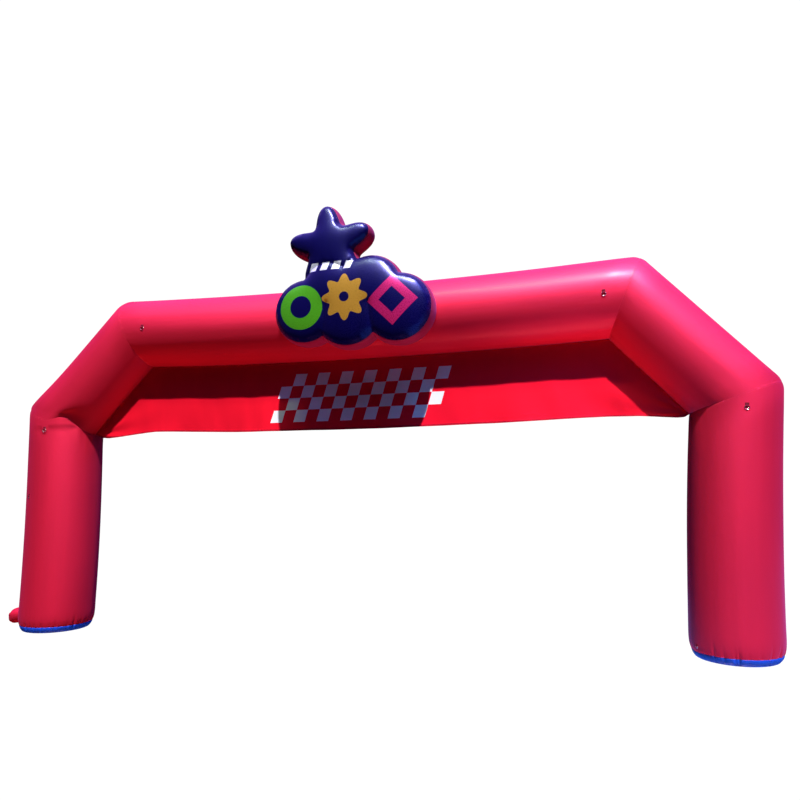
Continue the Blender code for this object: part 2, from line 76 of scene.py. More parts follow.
STAR = {"x": -0.19, "z": 5.05, "outer": 0.56, "inner": 0.32, "lean": 0.10}
CLOUD_MIDDLE = (0.08, 4.30)
CLOUD_LOBES = (  # x, z and radius
    (-0.52, 4.22, 0.41), (0.05, 4.18, 0.44), (0.70, 4.19, 0.43), (0.34, 4.48, 0.40), (-0.2, 4.45, 0.35),
)
CHANNELS = (((-0.245, 3.95), (-0.20, 4.27)), ((0.385, 3.95), (0.35, 4.25)))  # the cloud's sewn grooves
ANCHORS = {  # tube, x on the beam or z on a leg, degrees round the tube from its front, and scale
    "beam_left": ("beam", -3.093, -2.0, 1.0),
    "beam_right": ("beam", 3.180, -4.3, 1.0),
    "leg_left_top": ("left_leg", 2.845, 5.0, 1.0),
    "leg_left_side": ("left_leg", 1.900, -26.0, 0.8),
    "leg_right_top": ("right_leg", 2.806, 0.6, 1.0),
    "leg_right_foot": ("right_leg", 0.132, -65.0, 0.6),
}
TAB_W, TAB_THICK, TAB_LAY = 0.040, 0.002, 0.038
RING_W, RING_DROP, WIRE_R = 0.048, 0.038, 0.003
LAYER_GAP = 0.0004
BAR_OFF = TAB_THICK + WIRE_R + 3 * LAYER_GAP  # from the tube's skin to the middle of a ring's bar

# ---------------- sizes of the detail
AROUND = 320  # points round a tube
ROW_STEP = 0.030  # between rows along a tube
MITRE_ROWS = (0.0, 0.004, 0.008, 0.013, 0.019, 0.027, 0.036, 0.047, 0.060, 0.076, 0.093, FILLET_REACH)
FOOT_ROWS = (0.0, 0.003, 0.007, 0.012, 0.018, 0.025, 0.033, 0.042, 0.052, 0.062, 0.073, 0.085)
FLOOR_ROWS = (  # heights; the last is just under the leg's cloth
    0.0, 0.0025, 0.006, 0.011, 0.018, 0.027, 0.037, 0.048, 0.058, 0.067, 0.074, 0.080, SEAM_Z - GAP / 2,
)
MITRE_BLEND = 0.42  # how far the light rounds off beside a mitre
SOFT_WAVES = ((0.0032, 7, 0.9, 100), (0.0018, 26, 0.5, 120))  # height, cells round, cells a metre, seed
PLEAT = 0.0095  # deepest pleats at the inside of a mitre
FOOT_PLEAT = 0.0060  # pleats at the floor seams
FOOT_CREASE = 0.022  # deepest crease there
FOOT_DRAWN = 0.010  # how far the floor seam draws a leg in
SEAM_GROOVE = 0.0035
FULLNESS = 0.047  # how far the left diagonal stands out just above the leg
# The left lower seam is drawn up in front, and a tuck lies under it.
SEAM_LIFT = {"by": 0.150, "at": math.radians(-127), "wide": math.radians(22), "reach": 0.26}
TUCK = {"z": 2.872, "from": math.radians(-150), "to": math.radians(-60), "depth": 0.011, "half": 0.034}
BANNER_COLUMNS, BANNER_ROWS = 420, 44
HEM = 0.032  # height of the folded hem along the banner's lower edge
PLAN_STEP = 0.034  # between points of the topper's plan
FAR_FROM_SEAM = 0.3  # value of the seam layer where no seam is near


# ---------------- small tools
def smooth(low, high, value):
    """0 below low, 1 above high, and smooth between."""
    t = np.clip((value - low) / (high - low), 0.0, 1.0)
    return t * t * (3 - 2 * t)


def bell(value, width):
    """1 at 0, falling away on both sides."""
    return np.exp(-((value / width) ** 2))


def wrapped(angle):
    """The same angle, from minus half a turn to half a turn."""
    return (angle + math.pi) % TURN - math.pi


def round_angles(count):
    return np.arange(count) / count * TURN


def unit(vectors):
    return vectors / np.linalg.norm(vectors, axis=-1, keepdims=True)


def lengths_along(points):
    """Distance along a line of points, from its first."""
    return np.concatenate(([0], np.cumsum(np.linalg.norm(np.diff(points, axis=0), axis=1))))


def lattice(u, v, seed, wrap=256):
    """Smooth noise from -1 to 1 over cells of one unit; u repeats after wrap cells."""
    table = np.random.default_rng(seed).uniform(-1, 1, (256, 256))
    u, v = np.broadcast_arrays(np.asarray(u, float), np.asarray(v, float))
    iu, iv = np.floor(u).astype(int), np.floor(v).astype(int)
    fu, fv = u - iu, v - iv
    fu = fu**3 * (fu * (fu * 6 - 15) + 10)
    fv = fv**3 * (fv * (fv * 6 - 15) + 10)
    a, b, c, d = iu % wrap, (iu + 1) % wrap, iv % 256, (iv + 1) % 256
    low = table[a, c] * (1 - fu) + table[b, c] * fu
    high = table[a, d] * (1 - fu) + table[b, d] * fu
    return low * (1 - fv) + high * fv


def make_piece(name, node, points, faces, material, cloth=None, seam=None, normals=None):
    """A shown mesh that rides on the part; cloth and seam are layers that its material reads."""
    mesh = bpy.data.meshes.new(name)
    mesh.from_pydata((np.reshape(points, (-1, 3)) + MIDDLE).tolist(), [], faces)
    mesh.shade_smooth()
    if cloth is not None:
        mesh.attributes.new("cloth", "FLOAT_VECTOR", "POINT").data.foreach_set("vector", np.ravel(cloth))
        mesh.attributes.new("seam", "FLOAT", "POINT").data.foreach_set("value", np.ravel(seam))
    if normals is not None:
        mesh.normals_split_custom_set_from_vertices(normals.reshape(-1, 3).tolist())
    mesh.materials.append(material)
    obj = bpy.data.objects.new(name, mesh)
    bpy.context.scene.collection.objects.link(obj)
    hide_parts(node)
    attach(obj, "root")
    return obj


def grid_faces(rows, columns, closed, start=0):
    """Quads of a grid of rows of points, each row closed on itself or not."""
    i, j = np.meshgrid(np.arange(rows - 1), np.arange(columns if closed else columns - 1), indexing="ij")
    k = (j + 1) % columns
    quads = np.stack((i * columns + j, (i + 1) * columns + j, (i + 1) * columns + k, i * columns + k), -1)
    return (quads.reshape(-1, 4) + start).tolist()


def fan(centre, first, count, flip=False):
    """Triangles from a centre to a closed row of points."""
    pairs = [(first + j, first + (j + 1) % count) for j in range(count)]
    return [(centre, b, a) if flip else (centre, a, b) for a, b in pairs]


def grid_normals(grid):
    """Outward normals of a grid whose rows are closed."""
    along = np.gradient(grid, axis=0)
    return unit(np.cross(along, np.roll(grid, -1, axis=1) - np.roll(grid, 1, axis=1)))


# ---------------- materials
WHITE = (1, 1, 1, 1)


def set_inputs(node, values):
    """Links a node's inputs to values over the surface, and sets plain values on them."""
    for key, value in values.items():
        if isinstance(value, Field):
            node.id_data.links.new(value.socket, node.inputs[key])
        else:
            node.inputs[key].default_value = value


def new_field(tree, kind, inputs, output=0, **settings):
    """What a new node with these inputs puts out."""
    node = tree.nodes.new(kind)
    for key, value in settings.items():
        setattr(node, key, value)
    set_inputs(node, inputs)
    return Field(node.outputs[output])


class Field:
    """A value over the surface; what is worked out from it becomes nodes of its material."""

    def __init__(self, socket):
        self.socket = socket

    def node(self, kind, inputs, output=0, **settings):
        return new_field(self.socket.id_data, kind, inputs, output, **settings)

    def calc(self, operation, *others):
        return self.node("ShaderNodeMath", dict(enumerate((self, *others))), operation=operation)

    __add__ = partialmethod(calc, "ADD")
    __sub__ = partialmethod(calc, "SUBTRACT")
    __mul__ = partialmethod(calc, "MULTIPLY")
    __truediv__ = partialmethod(calc, "DIVIDE")
    __mod__ = partialmethod(calc, "MODULO")
    __lt__ = partialmethod(calc, "LESS_THAN")
    __gt__ = partialmethod(calc, "GREATER_THAN")
    __abs__ = partialmethod(calc, "ABSOLUTE")

    def ramp(self, low, high, out_low=0.0, out_high=1.0):
        """Goes from one number to the other as the value goes from low to high."""
        inputs = dict(enumerate((self, low, high, out_low, out_high)))
        return self.node("ShaderNodeMapRange", inputs, interpolation_type="SMOOTHSTEP")

    def noise(self, scale, detail=2.0, roughness=0.5):
        inputs = {"Vector": self, "Scale": scale, "Detail": detail, "Roughness": roughness}
        return self.node("ShaderNodeTexNoise", inputs, "Fac")

    def parts(self):
        x = self.node("ShaderNodeSeparateXYZ", {0: self})
        return [Field(socket) for socket in x.socket.node.outputs]

    def stretched(self, across, along):
        """The cloth's own places, scaled by these two."""
        x, y, _ = self.parts()
        return self.node("ShaderNodeCombineXYZ", {0: x * across, 1: y * along})

    def mix(self, first, second):
        """One colour where the value is 0, and another where it is 1."""
        return self.node("ShaderNodeMix", {0: self, 6: first, 7: second}, 2, data_type="RGBA")

    def bump(self, distance, strength=1.0, **normal):
        inputs = {"Height": self, "Distance": distance, "Strength": strength, **normal}
        return self.node("ShaderNodeBump", inputs)


class Shader:
    """A material, the layers that it reads, and its Principled shader."""

    def __init__(self, name):
        self.material = bpy.data.materials.new(name)
        self.material.use_nodes = True
        self.tree = self.material.node_tree

    def layer(self, name, output="Fac"):
        return new_field(self.tree, "ShaderNodeAttribute", {}, output, attribute_name=name)

    def place(self):
        return new_field(self.tree, "ShaderNodeTexCoord", {}, "Object")

    def made(self, values):
        set_inputs(self.tree.nodes["Principled BSDF"], values)
        return self.material


def weave(cloth, pitch):
    """Height of a plain weave with this many metres between threads."""
    x, y, _ = cloth.parts()
    turns = TURN / pitch / 2
    return abs((x * turns).calc("SINE") * (y * turns).calc("SINE"))


def stitches(across, along, offsets, length=0.0055, gap=0.0035, width=0.0012):
    """1 on the threads of lines of stitches that lie at these distances across."""
    dash = (along / (length + gap)).calc("FRACT") < length / (length + gap)
    lines = abs(across - offsets[0]) < width / 2
    for offset in offsets[1:]:
        lines = lines.calc("MAXIMUM", abs(across - offset) < width / 2)
    return dash * lines


def cloth_material(name, colour, shade, roughness, gloss, coat=0.0, sheen=0.0, sheen_tint=WHITE,
                   seams=(0.007, 0.014), patterns=None, crinkle=0.0010, dust=None,
                   wear_and_seam_shade=(0.030, 0.004, 0.35), gleam=(0.3, WHITE)):
    """Coated nylon: weave, faint streaks and crinkles, stitched seams, and any printed pattern.

    The seam-darkening argument is painted shade: where the cloth darkens towards a seam, and how much; gleam
    is its gloss's level and tint.
    """
    shader = Shader(name)
    cloth, seam = shader.layer("cloth", "Vector"), shader.layer("seam")
    x, y, face = cloth.parts()
    uneven = cloth.noise(1.3) * 0.55 + cloth.stretched(9.0, 0.8).noise(1.0, 3.0) * 0.45
    tone = uneven.ramp(0.32, 0.68).mix((*shade, 1), (*colour, 1))
    if patterns:
        for mask, print_colour in patterns(x, y, face):
            tone = mask.mix(tone, (*print_colour, 1))
    if dust:
        low, high, dust_colour = dust
        dusty = shader.place().parts()[2].ramp(high, low) * cloth.noise(14.0, 4.0).ramp(0.35, 0.8)
        tone = (dusty * 0.35).mix(tone, (*dust_colour, 1))
    # Painted shade: the cloth is darkened towards each seam, in its grooves and creases and at the banner's
    # hem.
    tone = (seam.ramp(*wear_and_seam_shade[:2]) * wear_and_seam_shade[2]).mix(tone, (*(0.55 * c for c in shade), 1))
    threads = stitches(seam, x, seams)
    tone = threads.mix(tone, (*(min(1, c * 1.25 + 0.01) for c in colour), 1))
    normal = cloth.stretched(7.0, 2.2).noise(1.0, 3.0, 0.55).bump(crinkle * 2.5)
    normal = cloth.noise(22.0, 3.0).bump(crinkle * 0.5, Normal=normal)
    normal = threads.bump(0.0006, Normal=normal)
    normal = weave(cloth, 0.0009).bump(0.00012, 0.6, Normal=normal)
    return shader.made({
        "Base Color": tone,
        "Roughness": cloth.noise(90.0, 3.0, 0.6).ramp(0.25, 0.75, roughness - 0.04, roughness + 0.05),
        "Metallic": gloss,
        "Specular IOR Level": gleam[0],
        "Specular Tint": gleam[1],
        "IOR": 1.57,
        "Coat Weight": coat,
        "Coat Roughness": 0.30,
        "Sheen Weight": sheen,
        "Sheen Roughness": 0.5,
        "Sheen Tint": sheen_tint,
        "Normal": normal,
    })


def within(value, low, high):
    """1 where the value lies between low and high."""
    return (value > low) * (value < high)


# The banner's chequered band leans like a fast line, and its squares are as high as they are wide.
BAND = {"x": (-1.22, 1.146), "z": (2.873, 3.549), "lean": 0.305, "square": 0.169}


def banner_print(x, z, back):
    """A chequered band, on the front only: back is 0 there and 1 behind."""
    leaning = x - (z - sum(BAND["z"]) / 2) * BAND["lean"]
    inside = within(leaning, *BAND["x"]) * within(z, *BAND["z"])
    column = ((leaning - BAND["x"][0]) / BAND["square"]).calc("FLOOR")
    row = ((z - BAND["z"][0]) / BAND["square"]).calc("FLOOR")
    odd = (column + row) % 2.0 < 0.5
    return [(inside * odd * (back < 0.5), (0.74, 0.76, 0.80))]


# The topper's generic prints: a ring, a sunburst and a diamond on the cloud's lobes, and four dashes.
RING_PRINT = {"at": (-0.53, 4.235), "radius": 0.215, "half": 0.072}
BURST_PRINT = {"at": (0.055, 4.320), "radius": 0.300, "depth": 0.30, "points": 8, "hole": 0.064}
DIAMOND_PRINT = {"at": (0.665, 4.245), "radius": 0.245, "half": 0.078}
DASHES = {"x": (-0.42, 0.20), "z": 4.755, "half": 0.055, "count": 4, "share": 0.62, "lean": 0.3}
SOFT_EDGE = 0.002  # half the width over which a print's edge fades


def topper_print(x, z, _):
    def offset(place):
        return x - place[0], z - place[1]

    def distance(dx, dz):
        return (dx * dx + dz * dz).calc("SQRT")

    def band(value, centre, half):
        return abs(value - centre).ramp(half + SOFT_EDGE, half - SOFT_EDGE)

    dx, dz = offset(BURST_PRINT["at"])
    dip = BURST_PRINT["depth"] / 2
    wave = (dz.calc("ARCTAN2", dx) * BURST_PRINT["points"]).calc("COSINE")
    reach = (wave * dip + (1 - dip)) * BURST_PRINT["radius"]
    burst = (distance(dx, dz) - reach).ramp(SOFT_EDGE, -SOFT_EDGE)
    hole = distance(dx, dz).ramp(BURST_PRINT["hole"] - SOFT_EDGE, BURST_PRINT["hole"] + SOFT_EDGE)
    ring = band(distance(*offset(RING_PRINT["at"])), RING_PRINT["radius"], RING_PRINT["half"])
    dx, dz = offset(DIAMOND_PRINT["at"])
    diamond = band(abs(dx) + abs(dz), DIAMOND_PRINT["radius"], DIAMOND_PRINT["half"])
    leaning = x - (z - DASHES["z"]) * DASHES["lean"]
    step = (DASHES["x"][1] - DASHES["x"][0]) / DASHES["count"]
    part = ((leaning - DASHES["x"][0]) / step).calc("FRACT")
    dashes = within(part, 0.0, DASHES["share"]) * within(leaning, *DASHES["x"])
    return [
        (ring, (0.075, 0.40, 0.012)),
        (burst * hole, (0.50, 0.27, 0.03)),
        (diamond, (0.50, 0.012, 0.13)),
        (dashes * band(z, DASHES["z"], DASHES["half"]), (0.70, 0.74, 0.82)),
    ]


MAGENTA = (0.75, 0.24, 1.0, 1)
GLEAM = (1.0, (0.70, 0.30, 1.0, 1))
tube_cloth = cloth_material("tube_cloth", (0.56, 0.0050, 0.0135), (0.52, 0.0046, 0.0125), 0.61, 0.60, 0.14,
                            0.03, MAGENTA, wear_and_seam_shade=(0.030, 0.004, 0.08), gleam=GLEAM)
banner_cloth = cloth_material("banner_cloth", (0.76, 0.0012, 0.008), (0.73, 0.0010, 0.007), 0.68, 0.78,
                              0.0, 0.03, MAGENTA, seams=(0.006, 0.028), patterns=banner_print,
                              crinkle=0.0007, wear_and_seam_shade=(0.034, 0.026, 0.80), gleam=GLEAM)
floor_cloth = cloth_material("floor_cloth", (0.003, 0.055, 0.58), (0.0025, 0.045, 0.50), 0.6, 0.0,
                             dust=(0.0, 0.05, (0.10, 0.09, 0.09)))
topper_cloth = cloth_material("topper_cloth", (0.0010, 0.0002, 0.078), (0.0008, 0.0002, 0.062), 0.28, 0.5,
                              0.03, 0.04, (0.4, 0.3, 1.0, 1), seams=(0.005,), patterns=topper_print,
                              crinkle=0.0008)
gusset_cloth = cloth_material("gusset_cloth", (0.25, 0.004, 0.040), (0.22, 0.004, 0.034), 0.6, 0.4,
                              0.06, 0.08, MAGENTA, seams=(0.005,))


def webbing_material():
    """Dark woven webbing with a ribbed face and stitched edges."""
    shader = Shader("webbing")
    cloth = shader.layer("cloth", "Vector")
    x, y, _ = cloth.parts()
    height = (x * (TURN / 0.0022)).calc("SINE") * (y * (TURN / 0.0030)).calc("SINE")
    threads = stitches(shader.layer("seam"), y, (0.004, 0.008), 0.003, 0.0015, 0.001)
    tone = height.ramp(-0.8, 0.8).mix((0.10, 0.002, 0.010, 1), (0.19, 0.004, 0.020, 1))
    return shader.made({
        "Base Color": threads.mix(tone, (0.03, 0.002, 0.005, 1)),
        "Roughness": cloth.noise(300.0).ramp(0.3, 0.7, 0.62, 0.8),
        "Specular IOR Level": 0.1,
        "Normal": height.bump(0.0004),
    })


def steel_material():
    """Bright plated wire with faint scratches."""
    shader = Shader("plated_wire")
    wear_and_seam_shade = shader.place().noise(260.0, 4.0, 0.6)
    return shader.made({
        "Base Color": wear_and_seam_shade.ramp(0.45, 0.75).mix((0.78, 0.78, 0.80, 1), (0.55, 0.54, 0.54, 1)),
        "Roughness": wear_and_seam_shade.ramp(0.3, 0.8, 0.16, 0.34),
        "Metallic": 1.0,
        "Normal": wear_and_seam_shade.bump(0.0001),
    })


webbing, steel = webbing_material(), steel_material()


# ---------------- air tubes
class Tube:
    """A round tube on a gently bowed axis, with a plane cutting each end; works on arrays of places."""

    def __init__(self, start, end, bow):
        self.start, self.end, self.bow = np.array(start, float), np.array(end, float), bow
        self.length = float(np.linalg.norm(self.end - self.start))
        self.along = (self.end - self.start) / self.length
        self.out = np.array((-self.along[2], 0, self.along[0]))
        self.planes = [self.along, self.along]
        self.rounding = [1.0, 1.0]

    def axis(self, s):
        """Place on the axis, the way it runs there, and the way out of the arch."""
        s = np.asarray(s, float)
        half = self.length / 2
        curve = self.bow / (half * half - STRAIGHT_END * STRAIGHT_END)
        slope = 2 * curve * (half - STRAIGHT_END)
        ends = [s < STRAIGHT_END, s > self.length - STRAIGHT_END]
        off = np.select(ends, [slope * s, slope * (self.length - s)], self.bow - curve * (s - half) ** 2)
        lean = np.select(ends, [slope + 0 * s, -slope + 0 * s], -2 * curve * (s - half))
        tangent = unit(self.along + self.out * lean[..., None])
        normal = np.stack((-tangent[..., 2], 0 * s, tangent[..., 0]), -1)
        return self.start + self.along * s[..., None] + self.out * off[..., None], tangent, normal

    def surface(self, s, angle, radius):
        """Places round the axis; angle 0 is the way out of the arch."""
        s, angle, radius = np.broadcast_arrays(s, angle, radius)
        point, _, out = self.axis(s)
        across = np.zeros(point.shape)
        across[..., 1] = 1
        way = out * np.cos(angle)[..., None] + across * np.sin(angle)[..., None]
        return point + way * radius[..., None]

    def plane_s(self, end, angle, radius, shift=0.0):
        """Distance along the tube at which its surface meets the plane of one end, moved by shift."""
        base = self.length if end else 0.0
        corner = self.end if end else self.start
        angle, radius, shift = np.broadcast_arrays(angle, radius, shift)
        point = self.surface(np.full(angle.shape, base), angle, radius)
        tangent, normal = self.axis(base)[1], self.planes[end]
        distance = (shift - (point - corner) @ normal) / (tangent @ normal)
        return base + distance * (tangent @ self.along)


def outside(side, key):
    """A corner of the arch's axis, or its foot."""
    x, z = (SIDES[side]["foot"], 0.0) if key == "foot" else SIDES[side][key]
    return (SIDES[side]["sign"] * x, 0.0, z)


tubes = {
    "left_leg": Tube(outside("left", "foot"), outside("left", "low"), -SIDES["left"]["bow"]),
    "left_diagonal": Tube(outside("left", "low"), outside("left", "high"), 0.0),
    "beam": Tube(outside("left", "high"), outside("right", "high"), -BEAM_SAG),
    "right_diagonal": Tube(outside("right", "high"), outside("right", "low"), 0.0),
    "right_leg": Tube(outside("right", "low"), outside("right", "foot"), -SIDES["right"]["bow"]),
}
order = list(tubes)
for first, second in zip(order[:-1], order[1:]):
    mitre = unit(tubes[first].axis(tubes[first].length)[1] + tubes[second].axis(0.0)[1])
    tubes[first].planes[1] = tubes[second].planes[0] = mitre
tubes["left_leg"].rounding[1] = tubes["left_diagonal"].rounding[0] = 0.3
tubes["left_leg"].planes[0] = np.array((0.0, 0.0, 1.0))
tubes["right_leg"].planes[1] = np.array((0.0, 0.0, -1.0))


def anchor_place(tube_name, place, turn):
    """Distance along the tube and angle round it of a guy point, and whether the tube rises or falls."""
    tube = tubes[tube_name]
    rising = {"left_leg": 1, "right_leg": -1, "beam": 0}[tube_name]
    front, turn = -math.pi / 2, math.radians(turn)
    if rising:
        return abs(place - tube.start[2]) / abs(tube.along[2]), front - rising * turn, rising
    return place - tube.start[0], front + turn, 0


def drawn_in(distance, angle):
    """How far the fillet on a mitre's outer side lies inside the plain tube."""
    reach = np.maximum(0.0, FILLET_REACH - distance)
    return (CORNER_FILLET - np.sqrt(CORNER_FILLET**2 - reach**2)) * np.maximum(0.0, np.cos(angle)) ** 1.2


def foot_radius(height):
    rise = np.maximum(0.0, 1 - height / FLOOR_ROUND_Z)
    return TUBE_R - FLOOR_ROUND_R * (1 - np.sqrt(np.maximum(0.0, 1 - rise * rise)))


# ---------------- relief of the cloth
def mitre_relief(seed, angle, distance):
    """Pleats that run away from a mitre's seam, mostly on its inside, and the seam's own groove."""
    inner = (1 - np.cos(angle)) / 2
    turn = angle / TURN
    wide = lattice(turn * 34, distance * 2.2 + seed, seed, 34) * np.exp(-distance / 0.13) * inner**1.5
    fine = lattice(turn * 88, distance * 5.0 + seed, seed + 50, 88)
    fine = fine * np.exp(-distance / 0.045) * (0.25 + 0.75 * inner)
    groove = -SEAM_GROOVE * bell(distance, 0.012) * smooth(0.45, 0.95, inner)
    return PLEAT * wide + 0.0030 * fine + groove


def creases(seed, count, angle, above):
    """Narrow upright creases at uneven places, deepest at the seam."""
    random = np.random.default_rng(seed)
    places = (np.arange(count) + random.uniform(-0.45, 0.45, count)) / count * TURN
    depths, heights = random.uniform(0.15, 1.0, count), random.uniform(0.05, 0.11, count)
    total = 0.0
    for place, depth, height in zip(places, depths, heights):
        total = total + depth * bell(wrapped(angle - place) * TUBE_R, 0.017) * bell(above, height)
    return total


def foot_relief(seed, angle, above):
    """Short upright pleats that a leg's floor seam gathers into its cloth."""
    turn = angle / TURN
    picked = smooth(-0.1, 0.75, lattice(turn * 40, 0.5, seed, 40))
    sharp = -np.abs(lattice(turn * 72, above * 3.0, seed + 3, 72)) ** 0.7 * (0.25 + 0.75 * picked)
    gathers = FOOT_PLEAT * (sharp + 0.30) * bell(above, 0.055)
    deep = FOOT_CREASE * creases(seed + 7, 30, angle, above)
    return gathers - deep - SEAM_GROOVE * bell(above, 0.009) - FOOT_DRAWN * bell(above, 0.085)


def seam_lift(angle, away):
    """How far the cloth this far from the left lower mitre is drawn up on the front, with the seam."""
    turn = wrapped(angle)
    wide = bell(turn - SEAM_LIFT["at"], SEAM_LIFT["wide"])
    wide = wide * smooth(math.radians(-174), math.radians(-156), turn)
    return SEAM_LIFT["by"] * wide * bell(away, SEAM_LIFT["reach"])


def tuck_depth(angle, rise):
    """The soft tuck under the left lower seam, sharpest at its upper edge, where rise is 0."""
    turn = wrapped(angle)
    width = smooth(TUCK["from"], TUCK["from"] + 0.2, turn) * (1 - smooth(TUCK["to"] - 0.5, TUCK["to"], turn))
    below = (1 - smooth(-TUCK["half"], TUCK["half"], rise)) * np.exp(np.minimum(0.0, rise) / 0.2)
    return TUCK["depth"] * width * below


def calm_near_anchors(name, angle, s, near=0.05, far=0.16):
    """0 under the guy points, so that their tabs lie flat, and 1 away from them."""
    calm = 1.0
    for tube_name, place, turn, _ in ANCHORS.values():
        if tube_name == name:
            at, facing, _ = anchor_place(tube_name, place, turn)
            calm = calm * smooth(near, far, np.hypot(wrapped(angle - facing) * TUBE_R, s - at))
    return calm


def relief(name, angle, s, low, high):
    """How far the cloth stands off the plain tube; low and high are the distances from its two seams."""
    index = order.index(name)
    turn = angle / TURN
    total = sum(height * lattice(turn * cells, s * along, seed + index, cells)
                for height, cells, along, seed in SOFT_WAVES)
    total = total * smooth(0.0, 0.30, low) * smooth(0.0, 0.30, high)
    total = total + (foot_relief(31, angle, low) if name == "left_leg"
                     else mitre_relief(index, angle, low))
    if name == "left_diagonal":
        rise = (1 - bell(low, 0.07)) * bell(low, 0.50)
        total = total + FULLNESS * rise * np.maximum(0.0, np.cos(angle)) ** 1.5
    total = total + (foot_relief(47, angle, high) if name == "right_leg"
                     else mitre_relief(index + 1, angle, high))
    if name in ("beam", "left_diagonal", "right_diagonal"):
        # The line where the banner is sewn on.
        line = (angle - math.pi) * TUBE_R
        total = total + 0.0022 * lattice(s * 24, line * 6, 140 + index) * bell(line, 0.06)
        total = total - 0.0025 * bell(line, 0.012)
    total = total * calm_near_anchors(name, angle, s)
    if name == "left_leg":
        tuck = tuck_depth(angle, s * tubes[name].along[2] + seam_lift(angle, high) - TUCK["z"])
        total = total - tuck * calm_near_anchors(name, angle, s, 0.03, 0.07)
    return total


# ---------------- tube skins
angles = round_angles(AROUND)


def mitre_row(name, end, distance):
    """A row of the skin that keeps this distance from a mitre."""
    tube = tubes[name]
    plain = TUBE_R - drawn_in(distance, angles) * tube.rounding[end]
    step = -distance if end else distance
    s = tube.plane_s(end, angles, plain) + step
    rest = tube.plane_s(1, angles, TUBE_R) - tube.plane_s(0, angles, TUBE_R) - distance
    low, high = (rest, distance) if end else (distance, rest)
    radius = plain + relief(name, angles, s, low, high)
    s = tube.plane_s(end, angles, radius) + step
    return tube.surface(s, angles, radius), s, np.full(AROUND, distance)


def level_row(name, end, above):
    """A level row of the skin, this far above the floor seam."""
    tube = tubes[name]
    height = SEAM_Z + GAP / 2 + above
    plain = foot_radius(height)
    shift = -height if end else height
    s = tube.plane_s(end, angles, plain, shift)
    rest = np.abs(tube.plane_s(1 - end, angles, TUBE_R) - s)
    low, high = (rest, above) if end else (above, rest)
    radius = plain + relief(name, angles, s, low, high)
    s = tube.plane_s(end, angles, radius, shift)
    return tube.surface(s, angles, radius), s, np.full(AROUND, above)


def end_rows(name, end):
    """The rows near one end, from its seam inwards, and how far in they reach."""
    if (name, end) in (("left_leg", 0), ("right_leg", 1)):
        return [level_row(name, end, above) for above in FOOT_ROWS], FLOOR_ROUND_Z, SEAM_Z
    return [mitre_row(name, end, distance) for distance in MITRE_ROWS], FILLET_REACH, 0.0


def skin(name):
    """All rows of one tube's skin: points, distance along and distance from the nearer seam."""
    tube = tubes[name]
    head, reach_low, seam_low = end_rows(name, 0)
    tail, reach_high, seam_high = end_rows(name, 1)
    start, end = tube.plane_s(0, angles, TUBE_R), tube.plane_s(1, angles, TUBE_R)
    count = max(4, round((float((end - start).mean()) - reach_low - reach_high) / ROW_STEP))
    low_s, high_s = start + reach_low, end - reach_high
    body = []
    for k in range(1, count):
        s = low_s + (high_s - low_s) * k / count
        low, high = s - start - seam_low, end - s - seam_high
        radius = TUBE_R + relief(name, angles, s, low, high)
        body.append((tube.surface(s, angles, radius), s, np.minimum(low, high)))
    return tuple(np.stack(column) for column in zip(*head, *body, *tail[::-1]))


skins = {name: skin(name) for name in order}
shapes = {name: skins[name][0].copy() for name in order}
for name, row in (("left_leg", -1), ("left_diagonal", 0)):
    along = skins[name][1]
    shapes[name][..., 2] += seam_lift(angles, np.abs(along - along[row]))

# One run of normals over all five tubes, so that light passes a mitre as it does on one piece of cloth.
every = np.concatenate([shapes[name] for name in order])
starts = np.cumsum([0] + [len(shapes[name]) for name in order])
repeated = np.isin(np.arange(len(every)), starts[1:-1])  # a tube's first row is the last of the one before
all_normals = grid_normals(every[~repeated])[np.cumsum(~repeated) - 1]
outer_sides = [1 - smooth(math.radians(low), math.radians(high), np.abs(wrapped(angles)))
               for low, high in ((94, 126), (100, 150), (100, 150), (100, 150))]  # one for each mitre


def rounded_off(normals, plain, s, low_side, high_side):
    """Turns the normals near a mitre's outer side to the mitre's own, as an air-filled corner rounds off."""
    detail = normals - plain
    clear = FILLET_REACH - (0.06 if low_side is None else 0.01)  # the left leg's tuck lies close to its mitre
    ends = [(low_side, 0, s - s[:1]), (high_side, -1, s[-1:] - s)]
    ends = [end for end in ends if end[0] is not None]
    for side, _, away in ends:
        detail = detail * (1 - side * (1 - smooth(clear, clear + 0.05, away)))[..., None]
    for side, row, away in ends:
        share = (0.84 * side * (1 - smooth(0.0, MITRE_BLEND, away)))[..., None]
        even = sum(np.roll(normals[row], turn, axis=0) for turn in range(-20, 21)) / 41
        plain = plain * (1 - share) + even * share
    return unit(plain + detail)


for number, name in enumerate(order):
    points, s, seam = skins[name]
    plain = unit(points - tubes[name].axis(s)[0])
    sides = [None, *outer_sides, None][number:number + 2]
    normals = rounded_off(all_normals[starts[number]:starts[number + 1]], plain, s, *sides)
    cloth = np.stack((np.broadcast_to(angles * TUBE_R, s.shape), s, np.full(s.shape, float(number))), -1)
    faces = grid_faces(len(s), AROUND, True)
    made = make_piece(name + "_skin", name, shapes[name], faces, tube_cloth, cloth, seam, normals)


